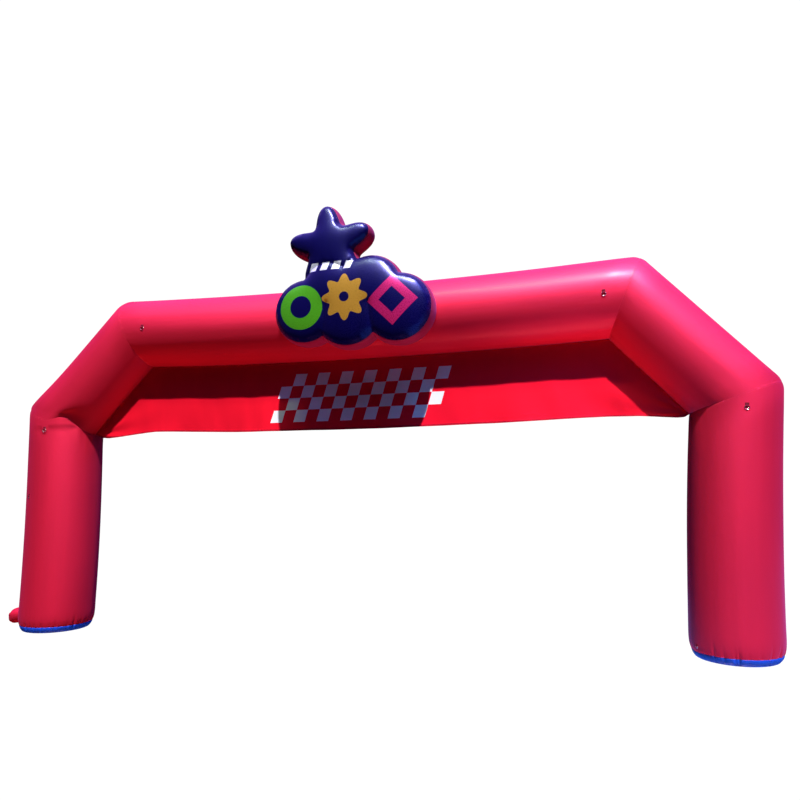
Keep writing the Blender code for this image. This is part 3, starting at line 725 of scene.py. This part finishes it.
# ---------------- leg floors
def leg_floor(side, end, seed):
    """A leg's cloth floor, with a lid just under the leg's cloth."""
    tube = tubes[side + "_leg"]
    rows = []
    for height in FLOOR_ROWS:
        press = smooth(0.0, 0.02, height)
        lift = foot_relief(seed, angles, np.full(AROUND, SEAM_Z - height)) * press
        lift = lift + 0.0012 * lattice(angles / TURN * 60, height * 20, seed + 9, 60) * press
        radius = foot_radius(height) + lift
        s = tube.plane_s(end, angles, radius, -height if end else height)
        rows.append(tube.surface(s, angles, radius))
    centre, top_centre = rows[0].mean(axis=0), rows[-1].mean(axis=0)
    inner = [centre + (rows[0] - centre) * share for share in (0.12, 0.3, 0.5, 0.7, 0.85, 0.95, 0.985)]
    lid = [top_centre + (rows[-1] - top_centre) * share for share in (0.99, 0.7, 0.35, 0.1)]
    stack = np.stack(inner + rows + lid)
    bottom = stack.size // 3
    points = np.concatenate((stack.reshape(-1, 3), centre[None], top_centre[None]))
    faces = grid_faces(len(stack), AROUND, True)
    faces += fan(bottom, 0, AROUND) + fan(bottom + 1, bottom - AROUND, AROUND, True)
    if end:
        faces = [face[::-1] for face in faces]
    seam = np.full(len(points), 0.5)
    first = len(inner) * AROUND
    seam[first:first + len(rows) * AROUND] = np.repeat(SEAM_Z - np.array(FLOOR_ROWS), AROUND)
    cloth = np.full((len(points), 3), (0.0, 0.0, 9.0))
    cloth[:-2, 0] = np.tile(angles * TUBE_R, len(stack))
    cloth[:-2, 1] = np.repeat(np.arange(len(stack)) * 0.01, AROUND)
    made = make_piece(side + "_floor", side + "_base", points, faces, floor_cloth, cloth, seam)


leg_floor("left", 0, 31)
leg_floor("right", 1, 47)


# ---------------- banner
HEM_ROWS = (0.963, 0.968, 0.972, 0.98, 0.988, 0.994, 0.998, 1.0)  # closer together, as shares of the drop


def follow(table, x):
    """Smooth curve through a short table of points."""
    for (x0, z0), (x1, z1) in zip(table[:-1], table[1:]):
        if x <= x1:
            t = min(1.0, max(0.0, (x - x0) / (x1 - x0)))
            return z0 + (z1 - z0) * (t * t * (3 - 2 * t) * 0.5 + t * 0.5)
    return table[-1][1]


def inner_corner(name, end):
    """Where the line along the inside of a tube, on which the banner is sewn, meets the tube's end."""
    tube = tubes[name]
    return tube.surface(tube.plane_s(end, math.pi, TUBE_R), math.pi, TUBE_R)


def banner_surface():
    """The banner's middle surface as columns from its sewn edge down, and the distances to its edges."""
    top_left, top_right = inner_corner("left_diagonal", 1), inner_corner("right_diagonal", 0)
    low_left, low_right = inner_corner("left_diagonal", 0), inner_corner("right_diagonal", 1)
    u = np.linspace(0, 1, BANNER_COLUMNS + 1)
    edge = ((low_left[0], low_left[2] - 0.002), *BANNER_EDGE, (low_right[0], low_right[2] - 0.002))
    low_x = low_left[0] + (low_right[0] - low_left[0]) * u
    low = np.stack((low_x, 0 * u, [follow(edge, x) for x in low_x]), -1)
    beam = tubes["beam"]
    s_from, s_to = beam.plane_s(0, math.pi, TUBE_R), beam.plane_s(1, math.pi, TUBE_R)
    top = beam.surface(s_from + (s_to - s_from) * u, math.pi, TUBE_R)
    top[:, 0] = top_left[0] + (top_right[0] - top_left[0]) * u
    top[:, 2] += 0.001
    drop = np.concatenate((np.linspace(0, 0.955, BANNER_ROWS + 1 - len(HEM_ROWS)), HEM_ROWS))[None]
    grid = top[:, None] + (low - top)[:, None] * drop[..., None]
    x, z = grid[..., 0], grid[..., 2]
    side = (smooth(0.0, 0.09, u) * smooth(0.0, 0.09, 1 - u))[:, None]
    ripple = np.sin(9.0 * u * math.pi + 1.3) + 0.5 * np.sin(23.0 * u * math.pi)
    off = 0.012 * ripple[:, None] * drop**2 * side
    # Soft upright folds from the sewn edge, and slack that gathers towards the free edge.
    off += 0.0045 * lattice(x * 6.0 + z * 1.2, z * 1.1, 201) * smooth(0.0, 0.5, drop) * side
    off += 0.0022 * lattice(x * 15.0, z * 2.0, 202) * np.exp(-drop / 0.10)
    off += 0.0018 * lattice(x * 19.0, z * 2.0, 203) * smooth(0.86, 1.0, drop) * side
    # Pull lines that run from the two lower corners.
    for corner, sign in ((low_left, 1), (low_right, -1)):
        dx, dz = (x - corner[0]) * sign, z - corner[2]
        reach, swing = np.hypot(dx, dz), np.arctan2(dz, dx)
        off += 0.010 * np.sin(swing * 15) * smooth(0.02, 0.25, reach) * np.exp(-reach / 0.55)
    grid[..., 1] = off
    span = np.linalg.norm(low - top, axis=1)[:, None]
    return grid, (1 - drop) * span, drop * span


def banner_piece():
    """The banner's two faces, thicker at the hem, and the thin rim between them."""
    grid, to_edge, to_top = banner_surface()
    columns, rows = grid.shape[:2]
    normal = unit(np.cross(np.gradient(grid, axis=0), np.gradient(grid, axis=1)))
    half = 0.001 + 0.0009 * (1 - smooth(HEM - 0.003, HEM + 0.003, to_edge))
    half = half[..., None] * -np.sign(normal[..., 1:2])
    points = np.concatenate((grid + normal * half, grid - normal * half))
    count = columns * rows
    index = np.arange(count).reshape(columns, rows)
    rim = [*index[0], *index[1:, -1], *index[-1, -2::-1], *index[-2:0:-1, 0]]
    faces = [face[::-1] for face in grid_faces(columns, rows, False)]
    faces += grid_faces(columns, rows, False, count)
    faces += [(b, a, a + count, b + count) for a, b in zip(rim, rim[1:] + rim[:1])]
    cloth = np.stack((grid[..., 0], grid[..., 2], 0 * to_edge), -1)
    seam = np.minimum(to_edge, to_top + 0.02)
    return make_piece("banner_cloth", "banner", points, faces, banner_cloth,
                      (cloth, cloth + (0, 0, 1)), (seam, seam))


banner = banner_piece()


# ---------------- air sleeve
SLEEVE_AROUND = 120
SLEEVE_TIP = ((0.7, 0.003), (0.4, 0.009), (0.18, 0.014))  # share of the end row, and how far back it lies


def sleeve_piece():
    """A closed sleeve: gathered where it is sewn to the leg, full in its middle, gathered shut at its end."""
    reach = np.concatenate((np.linspace(-0.03, 0.24, 28), np.linspace(0.246, 0.294, 14)))
    table = np.array(SLEEVE_PROFILE).T
    width, drop = np.interp(reach, table[0], table[1]), np.interp(reach, table[0], table[2])
    for curve in (width, drop) * 3:
        curve[1:-1] = (curve[:-2] + 2 * curve[1:-1] + curve[2:]) / 4
    turns = round_angles(SLEEVE_AROUND)
    round_share = turns / TURN
    rows = []
    for far, wide, sunk in zip(reach, width, drop):
        end_pleat = 0.10 * lattice(round_share * 24, 0.5 + far, 61, 24) * smooth(0.16, 0.29, far)
        root_pleat = 0.05 * lattice(round_share * 30, 0.5 + far, 62, 30) * (1 - smooth(0.0, 0.09, far))
        soft = 0.012 * lattice(round_share * 6, far * 9, 63, 6)
        radius = SLEEVE_R * wide * (1 + end_pleat + root_pleat + soft)
        x = np.full(SLEEVE_AROUND, -SIDES["left"]["foot"] - TUBE_R - far)
        rows.append(np.stack((x, radius * np.cos(turns), SLEEVE_Z - sunk + radius * np.sin(turns)), -1))
    tip, end_row = rows[-1].mean(axis=0), rows[-1]
    rows += [tip + (end_row - tip) * share + (back, 0, 0) for share, back in SLEEVE_TIP]
    ends = (rows[-1].mean(axis=0) + (0.003, 0, 0), rows[0].mean(axis=0))
    count = len(rows) * SLEEVE_AROUND
    faces = [face[::-1] for face in grid_faces(len(rows), SLEEVE_AROUND, True)]
    faces += fan(count, count - SLEEVE_AROUND, SLEEVE_AROUND) + fan(count + 1, 0, SLEEVE_AROUND, True)
    far = np.concatenate((reach, np.full(len(SLEEVE_TIP), reach[-1])))
    cloth = np.full((count + 2, 3), 12.0)
    cloth[:, 0] = np.append(np.tile(turns * SLEEVE_R, len(rows)), (0, 0))
    cloth[:, 1] = np.append(np.repeat(far, SLEEVE_AROUND), (0.3, 0))
    seam = np.append(np.repeat(np.abs(far - 0.012), SLEEVE_AROUND), (FAR_FROM_SEAM, FAR_FROM_SEAM))
    return make_piece("air_sleeve_cloth", "air_sleeve", np.concatenate((*rows, ends)), faces, tube_cloth,
                      cloth, seam)


sleeve_piece()


# ---------------- topper
def star_reach(angle):
    return STAR["inner"] + (STAR["outer"] - STAR["inner"]) * ((1 + np.cos(5 * angle)) / 2) ** 1.1


def cloud_reach(angle):
    """Distance from the cloud's middle to the farthest edge of its lobes."""
    dx, dz = np.cos(angle), np.sin(angle)
    best = np.zeros(np.shape(angle))
    for x, z, radius in CLOUD_LOBES:
        ox, oz = x - CLOUD_MIDDLE[0], z - CLOUD_MIDDLE[1]
        along = ox * dx + oz * dz
        under = radius * radius - (ox * ox + oz * oz - along * along)
        best = np.where(under > 0, np.maximum(best, along + np.sqrt(np.maximum(under, 0))), best)
    return best


# Each form's middle, the angle that it starts from, and how far it reaches at an angle from there.
STAR_FORM = ((STAR["x"], STAR["z"]), math.pi / 2 + STAR["lean"], star_reach)
CLOUD_FORM = (CLOUD_MIDDLE, 0.0, cloud_reach)


def edge_of(form, turns):
    middle, first, reach = form
    return middle + reach(turns)[:, None] * np.stack((np.cos(first + turns), np.sin(first + turns)), -1)


def within_form(form, points, margin):
    middle, first, reach = form
    dx, dz = (points - middle).T
    return np.hypot(dx, dz) < reach(np.arctan2(dz, dx) - first) - margin


def one_run(points, flags):
    """The kept stretch of a closed row of points, in order from its start."""
    start = np.flatnonzero(flags & ~np.roll(flags, 1))[0]
    return np.roll(points, -start, axis=0)[:flags.sum()]


def evened(points, step):
    """A closed outline with points every step along it."""
    closed = np.concatenate((points, points[:1]))
    lengths = lengths_along(closed)
    at = np.linspace(0, lengths[-1], round(lengths[-1] / step) + 1)[:-1]
    return np.stack([np.interp(at, lengths, column) for column in closed.T], -1)


def nearest(points, others):
    """Each point's distance to the nearest of the others."""
    return np.array([np.min(np.hypot(others[:, 0] - x, others[:, 1] - z)) for x, z in points])


def even_fill(step):
    """Points in even rows, every second one shifted, over the whole topper."""
    rows = enumerate(np.arange(3.6, 5.8, step * 0.866))
    columns = np.arange(-1.2, 1.4, step)
    return np.array([(x + k % 2 * step / 2, z) for k, z in rows for x in columns])


def topper_plan(step):
    """The topper's outline, its sewn grooves and an even fill between them, as triangles."""
    turns = round_angles(900)
    star, cloud = edge_of(STAR_FORM, turns), edge_of(CLOUD_FORM, turns)
    beside_star = ~within_form(STAR_FORM, cloud, -0.004)
    star_run = one_run(star, ~within_form(CLOUD_FORM, star, -0.004))
    outline = evened(np.concatenate((star_run, one_run(cloud, beside_star))), step)
    hidden = one_run(cloud, ~beside_star)
    twentieths = np.arange(21)[:, None]
    chains = [hidden[within_form(STAR_FORM, hidden, 0.03)]]
    for low, high in np.array(CHANNELS):
        chains.append(low + (high - low) * twentieths / 20)
    chains = [chain[::max(1, round(step / np.linalg.norm(chain[1] - chain[0])))] for chain in chains]
    fixed = np.concatenate((outline, *chains))
    fill = even_fill(step)
    fill = fill[within_form(CLOUD_FORM, fill, step * 0.45) | within_form(STAR_FORM, fill, step * 0.45)]
    fill = fill[nearest(fill, fixed) > step * 0.55]
    count = at = len(outline)
    edges = [(i, (i + 1) % count) for i in range(count)]
    for chain in chains:
        edges += [(at + i, at + i + 1) for i in range(len(chain) - 1)]
        at += len(chain)
    points = [Vector(point) for point in np.concatenate((fixed, fill)).tolist()]
    places, _, triangles, sources, *_ = delaunay_2d_cdt(points, edges, [], 0, 1e-6, True)
    flat = np.array(places)
    grooves = {i for i, olds in enumerate(sources) if any(count <= old < at for old in olds)}
    (x0, z0), (x1, z1) = outline.T, np.roll(outline, -1, axis=0).T
    run = np.where(x1 == x0, 1, x1 - x0)
    kept = []
    for triangle in triangles:
        corners = flat[list(triangle)]
        x, z = corners.mean(axis=0)
        crossed = ((x0 > x) != (x1 > x)) & (z < z0 + (z1 - z0) * (x - x0) / run)
        if crossed.sum() % 2:
            (ax, az), (bx, bz), (cx, cz) = corners
            turn = (bx - ax) * (cz - az) - (bz - az) * (cx - ax)
            kept.append(tuple(triangle) if turn > 0 else tuple(reversed(triangle)))
    return flat, kept, grooves


def rim_loop(triangles):
    edges = {(t[i], t[(i + 1) % 3]) for t in triangles for i in range(3)}
    following = {a: b for a, b in edges if (b, a) not in edges}
    loop = [min(following)]
    while following[loop[-1]] != loop[0]:
        loop.append(following[loop[-1]])
    return loop


def puff(flat, triangles, rim, grooves=()):
    """Height of an air-filled skin over its outline, 0 at the rim and 1 at its highest point."""
    count = len(flat)
    stiff, load = np.zeros((count, count)), np.zeros(count)
    for triangle in triangles:
        corner = flat[list(triangle)]
        e1, e2 = corner[1] - corner[0], corner[2] - corner[0]
        double = abs(e1[0] * e2[1] - e1[1] * e2[0])
        for i in range(3):
            a, b, c = (triangle[(i + turn) % 3] for turn in range(3))
            load[a] += double / 6
            weight = 0.5 * float((flat[b] - flat[a]) @ (flat[c] - flat[a])) / double
            for row, column, sign in ((b, c, -1), (c, b, -1), (b, b, 1), (c, c, 1)):
                stiff[row, column] += sign * weight

    def solve(held):
        free = np.array([i for i in range(count) if i not in held])
        tied = list(held)
        values = np.zeros(count)
        values[tied] = [held[i] for i in tied]
        pull = load[free] - stiff[np.ix_(free, tied)] @ values[tied]
        values[free] = np.linalg.solve(stiff[np.ix_(free, free)], pull)
        return values

    held = {i: 0.0 for i in rim}
    loose = solve(held)
    if grooves:
        held.update({i: 0.35 * loose[i] for i in grooves if i not in held})
        loose = solve(held)
    return (np.maximum(loose, 0.0) / loose.max()) ** 0.42


plan_points, plan_faces, plan_grooves = topper_plan(PLAN_STEP)
plan_rim = rim_loop(plan_faces)
rim_points = plan_points[plan_rim]
rim_step = np.roll(rim_points, -1, axis=0) - np.roll(rim_points, 1, axis=0)
rim_out = unit(np.stack((rim_step[:, 1], -rim_step[:, 0]), -1))
rim_length = lengths_along(plan_points[plan_rim + plan_rim[:1]])[:-1]
to_rim = nearest(plan_points, rim_points)
to_groove = nearest(plan_points, plan_points[sorted(plan_grooves)])
plan_count, rim_count = len(plan_points), len(plan_rim)


def seam_pleats(seed, amount, distance, reach):
    """Small pleats that run in from a sewn line."""
    away = plan_points - (0.0, 4.6)
    swing = np.arctan2(away[:, 1], away[:, 0])
    pleats = amount * lattice(swing / TURN * 90 + 100, np.hypot(*away.T) * 6, seed)
    return pleats * np.exp(-distance / reach)


def standing(flat, y):
    """Points of the plan, given as x and z, at this y."""
    return np.stack((flat[:, 0], np.broadcast_to(y, len(flat)), flat[:, 1]), -1)


def topper_piece(node, material, front, walls, back, cloth, seam, pressed=None):
    """A front, loops of wall behind its rim, and a back, refined by one level of subdivision."""
    firsts = [plan_count + rim_count * k for k in range(len(walls) + 1)]
    loops = [range(first, first + rim_count) for first in firsts[:-1]]
    base = firsts[-1]
    loops = [plan_rim, *loops, [base + i for i in plan_rim]]
    faces = list(plan_faces)
    for upper, lower in zip(loops, loops[1:]):
        for k in range(rim_count):
            n = (k + 1) % rim_count
            faces.append((upper[n], upper[k], lower[k], lower[n]))
    faces += [tuple(base + i for i in reversed(face)) for face in plan_faces]
    points = np.concatenate((front, *walls, back))
    if pressed:
        points = pressed(points)
    made = make_piece(node + "_cloth", node, points, faces, material, cloth, seam)
    smoother = made.modifiers.new("smooth", "SUBSURF")
    smoother.levels = smoother.render_levels = 1


def topper_front():
    pleats = seam_pleats(71, 0.007, to_rim, 0.05) * smooth(0.0, 0.02, to_rim)
    pleats = pleats + seam_pleats(72, 0.006, to_groove, 0.045)
    rise = puff(plan_points, plan_faces, plan_rim, plan_grooves) * TOPPER_PUFF
    rise = rise + pleats - 0.010 * bell(to_groove, 0.018)
    front = standing(plan_points, TOPPER_SEAM_Y - TOPPER_RIM - rise)
    edge = rim_points + rim_out * 0.004
    walls = [standing(edge, TOPPER_SEAM_Y - TOPPER_RIM * share) for share in (0.7, 0.3)]
    back = standing(plan_points, TOPPER_SEAM_Y - GAP)
    cloth = standing(np.concatenate((plan_points, rim_points, rim_points, plan_points)), 0.0)[:, (0, 2, 1)]
    seam = [np.minimum(to_rim + 0.004, to_groove + 0.01), np.zeros(2 * rim_count)]
    seam = np.concatenate((*seam, np.full(plan_count, FAR_FROM_SEAM)))
    topper_piece("topper_front", topper_cloth, front, walls, back, cloth, seam)


def against_beam(points):
    """The topper's back lies against the beam, and is pressed to its skin there."""
    beam = tubes["beam"]
    away = points - beam.axis(points[:, 0] - beam.start[0])[0]
    away[:, 0] = 0
    reach = np.linalg.norm(away, axis=1)
    return points + away * (np.maximum(reach, TUBE_R + 0.004) / np.maximum(reach, 1e-6) - 1)[:, None]


def topper_back():
    depth = TOPPER_BACK_Y - TOPPER_SEAM_Y
    steps = np.array((0.03, 0.07, 0.12, 0.2, 0.3, 0.4, 0.5, 0.6, 0.7, 0.8, 0.88, 0.93, 0.97))
    bulge = 0.034 * np.sin(steps * math.pi) ** 0.6
    gathers = lattice(rim_length * 22, 0.5, 81) * 0.006 + lattice(rim_length * 46, 0.5, 82) * 0.003
    near = np.minimum(steps, 1 - steps) * depth
    walls = []
    for step, out, edge in zip(steps, bulge, near):
        spread = out + gathers * np.exp(-edge / 0.045) * smooth(0.0, 0.012, edge)
        walls.append(standing(rim_points + rim_out * spread[:, None], TOPPER_SEAM_Y + depth * step))
    rise = puff(plan_points, plan_faces, plan_rim) * TOPPER_BACK_PUFF
    rise = rise + seam_pleats(83, 0.006, to_rim, 0.05) * smooth(0.0, 0.02, to_rim)
    side = np.full((rim_count * len(walls), 3), 20.0)
    side[:, 0] = np.tile(rim_length, len(walls))
    side[:, 1] = np.repeat(steps * depth, rim_count)
    face = np.column_stack((plan_points, np.full(plan_count, 22.0)))
    cloth = np.concatenate((face, side, face))
    seam = np.concatenate((np.full(plan_count, FAR_FROM_SEAM), np.repeat(near, rim_count), to_rim))
    front, back = standing(plan_points, TOPPER_SEAM_Y), standing(plan_points, TOPPER_BACK_Y + rise)
    topper_piece("topper_back", gusset_cloth, front, walls, back, cloth, seam, against_beam)


topper_front()
topper_back()


# ---------------- guy points
class Anchor:
    """A place on a tube's skin: across it, up it and off it, in metres."""

    def __init__(self, tube_name, place, turn, scale):
        self.tube, self.scale = tubes[tube_name], scale
        self.s, self.angle, self.rising = anchor_place(tube_name, place, turn)

    def at(self, across, up, off):
        across, up, off = (np.asarray(v, float) * self.scale for v in (across, up, off))
        radius = TUBE_R + 2 * GAP + off
        if self.rising:
            angle = self.angle - self.rising * across / TUBE_R
            return self.tube.surface(self.s + self.rising * up, angle, radius)
        return self.tube.surface(self.s + across, self.angle + up / TUBE_R, radius)


def side_way(step):
    """The way to the side of a path, for each of its steps."""
    return unit(np.stack((step[:, 1], -step[:, 0]), -1))


def tab_piece(anchor, name):
    """A strip of webbing folded round the ring's bar, with both layers sewn to the tube."""
    near = TAB_THICK / 2
    far = near + TAB_THICK + LAYER_GAP
    turn = WIRE_R + 2 * LAYER_GAP + TAB_THICK / 2
    flat = np.linspace(TAB_LAY, 0.010, 9)
    swing = np.radians(-90 - 215 * np.arange(18) / 17)
    bend = np.stack((turn * np.cos(swing), BAR_OFF + turn * np.sin(swing)), -1)
    path = np.array([(up, near) for up in flat] + bend.tolist() + [(up, far) for up in flat[::-1]])
    side = side_way(np.gradient(path, axis=0)) * TAB_THICK / 2
    section = np.concatenate((path - side, (path + side)[::-1]))
    across = np.linspace(-TAB_W / 2, TAB_W / 2, 15)
    rows = [anchor.at(np.full(len(section), a), section[:, 0], section[:, 1]) for a in across]
    count = len(section)
    faces = grid_faces(len(across), count, True)
    for first, flip in ((0, 1), ((len(across) - 1) * count, -1)):
        for k in range(len(path) - 1):
            faces.append((first + k, first + k + 1, first + count - 2 - k, first + count - 1 - k)[::flip])
    run = lengths_along(path)
    x, y = np.meshgrid(across, np.append(run, run[::-1]), indexing="ij")
    to_end = np.abs(np.append(path[:, 0], path[::-1, 0]) - TAB_LAY)
    make_piece("webbing_" + name, "tab_" + name, rows, faces, webbing,
               np.stack((x, y, 0 * x), -1), np.minimum(TAB_W / 2 - np.abs(x), to_end))


def ring_piece(anchor, name):
    """A smooth D-shaped ring of round wire."""
    half = RING_W / 2
    corner = 0.0055
    swing = math.pi * np.arange(29) / 28
    bow = np.stack((-half * np.cos(swing), half - RING_DROP - half * np.sin(swing)), -1)
    bend = np.linspace(0, math.pi / 2, 8)
    right = np.stack((half - corner * (1 - np.cos(bend)), -corner + corner * np.sin(bend)), -1)
    bar = np.linspace(half - corner, -half + corner, 8)[1:-1]
    path = np.concatenate((bow, right, np.stack((bar, 0 * bar), -1), right[::-1] * (-1, 1)))
    count, around = len(path), 18
    side = side_way(np.roll(path, -1, axis=0) - np.roll(path, 1, axis=0))
    swing = round_angles(around)
    wire = path[:, None] + side[:, None] * (WIRE_R * np.cos(swing))[:, None]
    off = np.broadcast_to(BAR_OFF + WIRE_R * np.sin(swing), wire.shape[:2])
    points = anchor.at(wire[..., 0], wire[..., 1], off)
    faces = [[i % (count * around) for i in face[::-1]] for face in grid_faces(count + 1, around, True)]
    make_piece("wire_" + name, "ring_" + name, points, faces, steel)


for anchor_name, place in ANCHORS.items():
    spot = Anchor(*place)
    tab_piece(spot, anchor_name)
    ring_piece(spot, anchor_name)


# ---------------- stage
RAYS = ("camera", "diffuse", "glossy", "transmission", "volume_scatter", "shadow")


def stage_mesh(name, points, faces, glow, strength, seen_by):
    """A glowing surface of the stage that only one kind of ray sees."""
    mesh = bpy.data.meshes.new(name)
    mesh.from_pydata(points, [], faces)
    mesh.materials.append(Shader(name).made({
        "Base Color": (0, 0, 0, 1),
        "Roughness": 0.9,
        "Specular IOR Level": 0.0,
        "Emission Color": (*glow, 1),
        "Emission Strength": strength,
    }))
    obj = bpy.data.objects.new(name, mesh)
    bpy.context.scene.collection.objects.link(obj)
    for ray in RAYS:
        setattr(obj, "visible_" + ray, ray == seen_by)


def ground(x0, x1, y0, y1):
    """A level rectangle on the ground."""
    return [(x0, y0, 0.0), (x1, y0, 0.0), (x1, y1, 0.0), (x0, y1, 0.0)], [(0, 1, 2, 3)]


def dome(radius, low):
    """A half ball of quads that is open below; low is the angle at which it starts."""
    rows, columns = 12, 32
    lift = (low + (math.pi / 2 - 0.01 - low) * np.arange(rows + 1) / rows)[:, None]
    turn = round_angles(columns)
    points = np.stack((np.cos(lift) * np.cos(turn), np.cos(lift) * np.sin(turn), np.sin(lift) + 0 * turn), -1)
    faces = grid_faces(rows + 1, columns, True) + [tuple(range(rows * columns, (rows + 1) * columns))]
    return (points * radius).reshape(-1, 3).tolist(), faces


stage_mesh("studio_floor", *ground(-220, 220, -220, 220), (1, 1, 1), 1.05, "camera")
stage_mesh("backdrop", *dome(200, -0.2), (1, 1, 1), 1.05, "camera")
# The sky above, and the ground at the arch's sunny end, as its gloss shows them.
stage_mesh("sky_sheen", *dome(150, 0.65), (0.50, 0.32, 1.0), 1.5, "glossy")
stage_mesh("ground_sheen", *ground(2.0, 13.0, -9.0, 6.0), (0.14, 0.34, 0.85), 1.5, "glossy")

world = bpy.data.worlds.new("studio")
bpy.context.scene.world = world
world.use_nodes = True
set_inputs(world.node_tree.nodes["Background"], {"Color": (0.55, 0.6, 1.0, 1), "Strength": 0.08})
world.cycles_visibility.glossy = False


# ---------------- light and camera
def facing(way):
    """The turn that makes a light shine this way."""
    return Vector(way).to_track_quat("-Z", "Y").to_euler()


def add_light(name, kind, energy, colour, turn, place=(0, 0, 0), hidden_from=(), **settings):
    light = bpy.data.lights.new(name, kind)
    light.energy, light.color = energy, colour
    for key, value in settings.items():
        setattr(light, key, value)
    obj = bpy.data.objects.new(name, light)
    obj.location, obj.rotation_euler = place, turn
    for ray in hidden_from:
        setattr(obj, "visible_" + ray, False)
    bpy.context.scene.collection.objects.link(obj)


# Light that comes back up from the ground, a little stronger under the arch's sunny end.
for name, x, size, energy in (("floor_fill", 1.2, 18.0, 610.0), ("sunny_floor_fill", 6.8, 9.0, 330.0)):
    add_light(name, "AREA", energy, (1.0, 0.50, 0.35), (math.pi, 0, 0), (x, 0.5, 0.0), ("camera", "glossy"),
              shape="RECTANGLE", size=size, size_y=7.0, spread=math.radians(28))
add_light("key", "SUN", 9.0, (1.0, 0.97, 0.95), facing((-0.37, 1.0, -1.68)), angle=math.radians(1.2))
# Blue haze over the sunny end.
add_light("haze", "AREA", 60.0, (0.0, 0.40, 1.0), facing((-2.6, 4.2, -7.2)), (6.8, -4.2, 11.0),
          size=4.0, spread=math.radians(40))
# A long yellowish reflector beside the sun, for the streak along the beam.
add_light("streak", "AREA", 2300.0, (0.70, 0.92, 0.35), facing((0.0, 7.3, -13.1)), (0.7, -7.5, 17.5),
          ("camera", "diffuse"), shape="RECTANGLE", size=8.0, size_y=0.6)
# Blue light from high up, as from a clear sky.
add_light("sky", "SUN", 9.0, (0.20, 0.14, 1.0), facing((-0.25, -0.05, -1.0)), angle=math.radians(60))

camera = bpy.data.cameras.new("camera")
camera.sensor_width = 36.0
camera.lens = 29.32605
camera.clip_end = 1000
camera_object = bpy.data.objects.new("camera", camera)
camera_object.location = (2.7199, -8.2004, 1.8781)
camera_object.rotation_euler = [math.radians(degrees) for degrees in (98.1711, 0.5649, 13.6234)]
bpy.context.scene.collection.objects.link(camera_object)
bpy.context.scene.camera = camera_object
bpy.context.scene.view_settings.view_transform = "Standard"
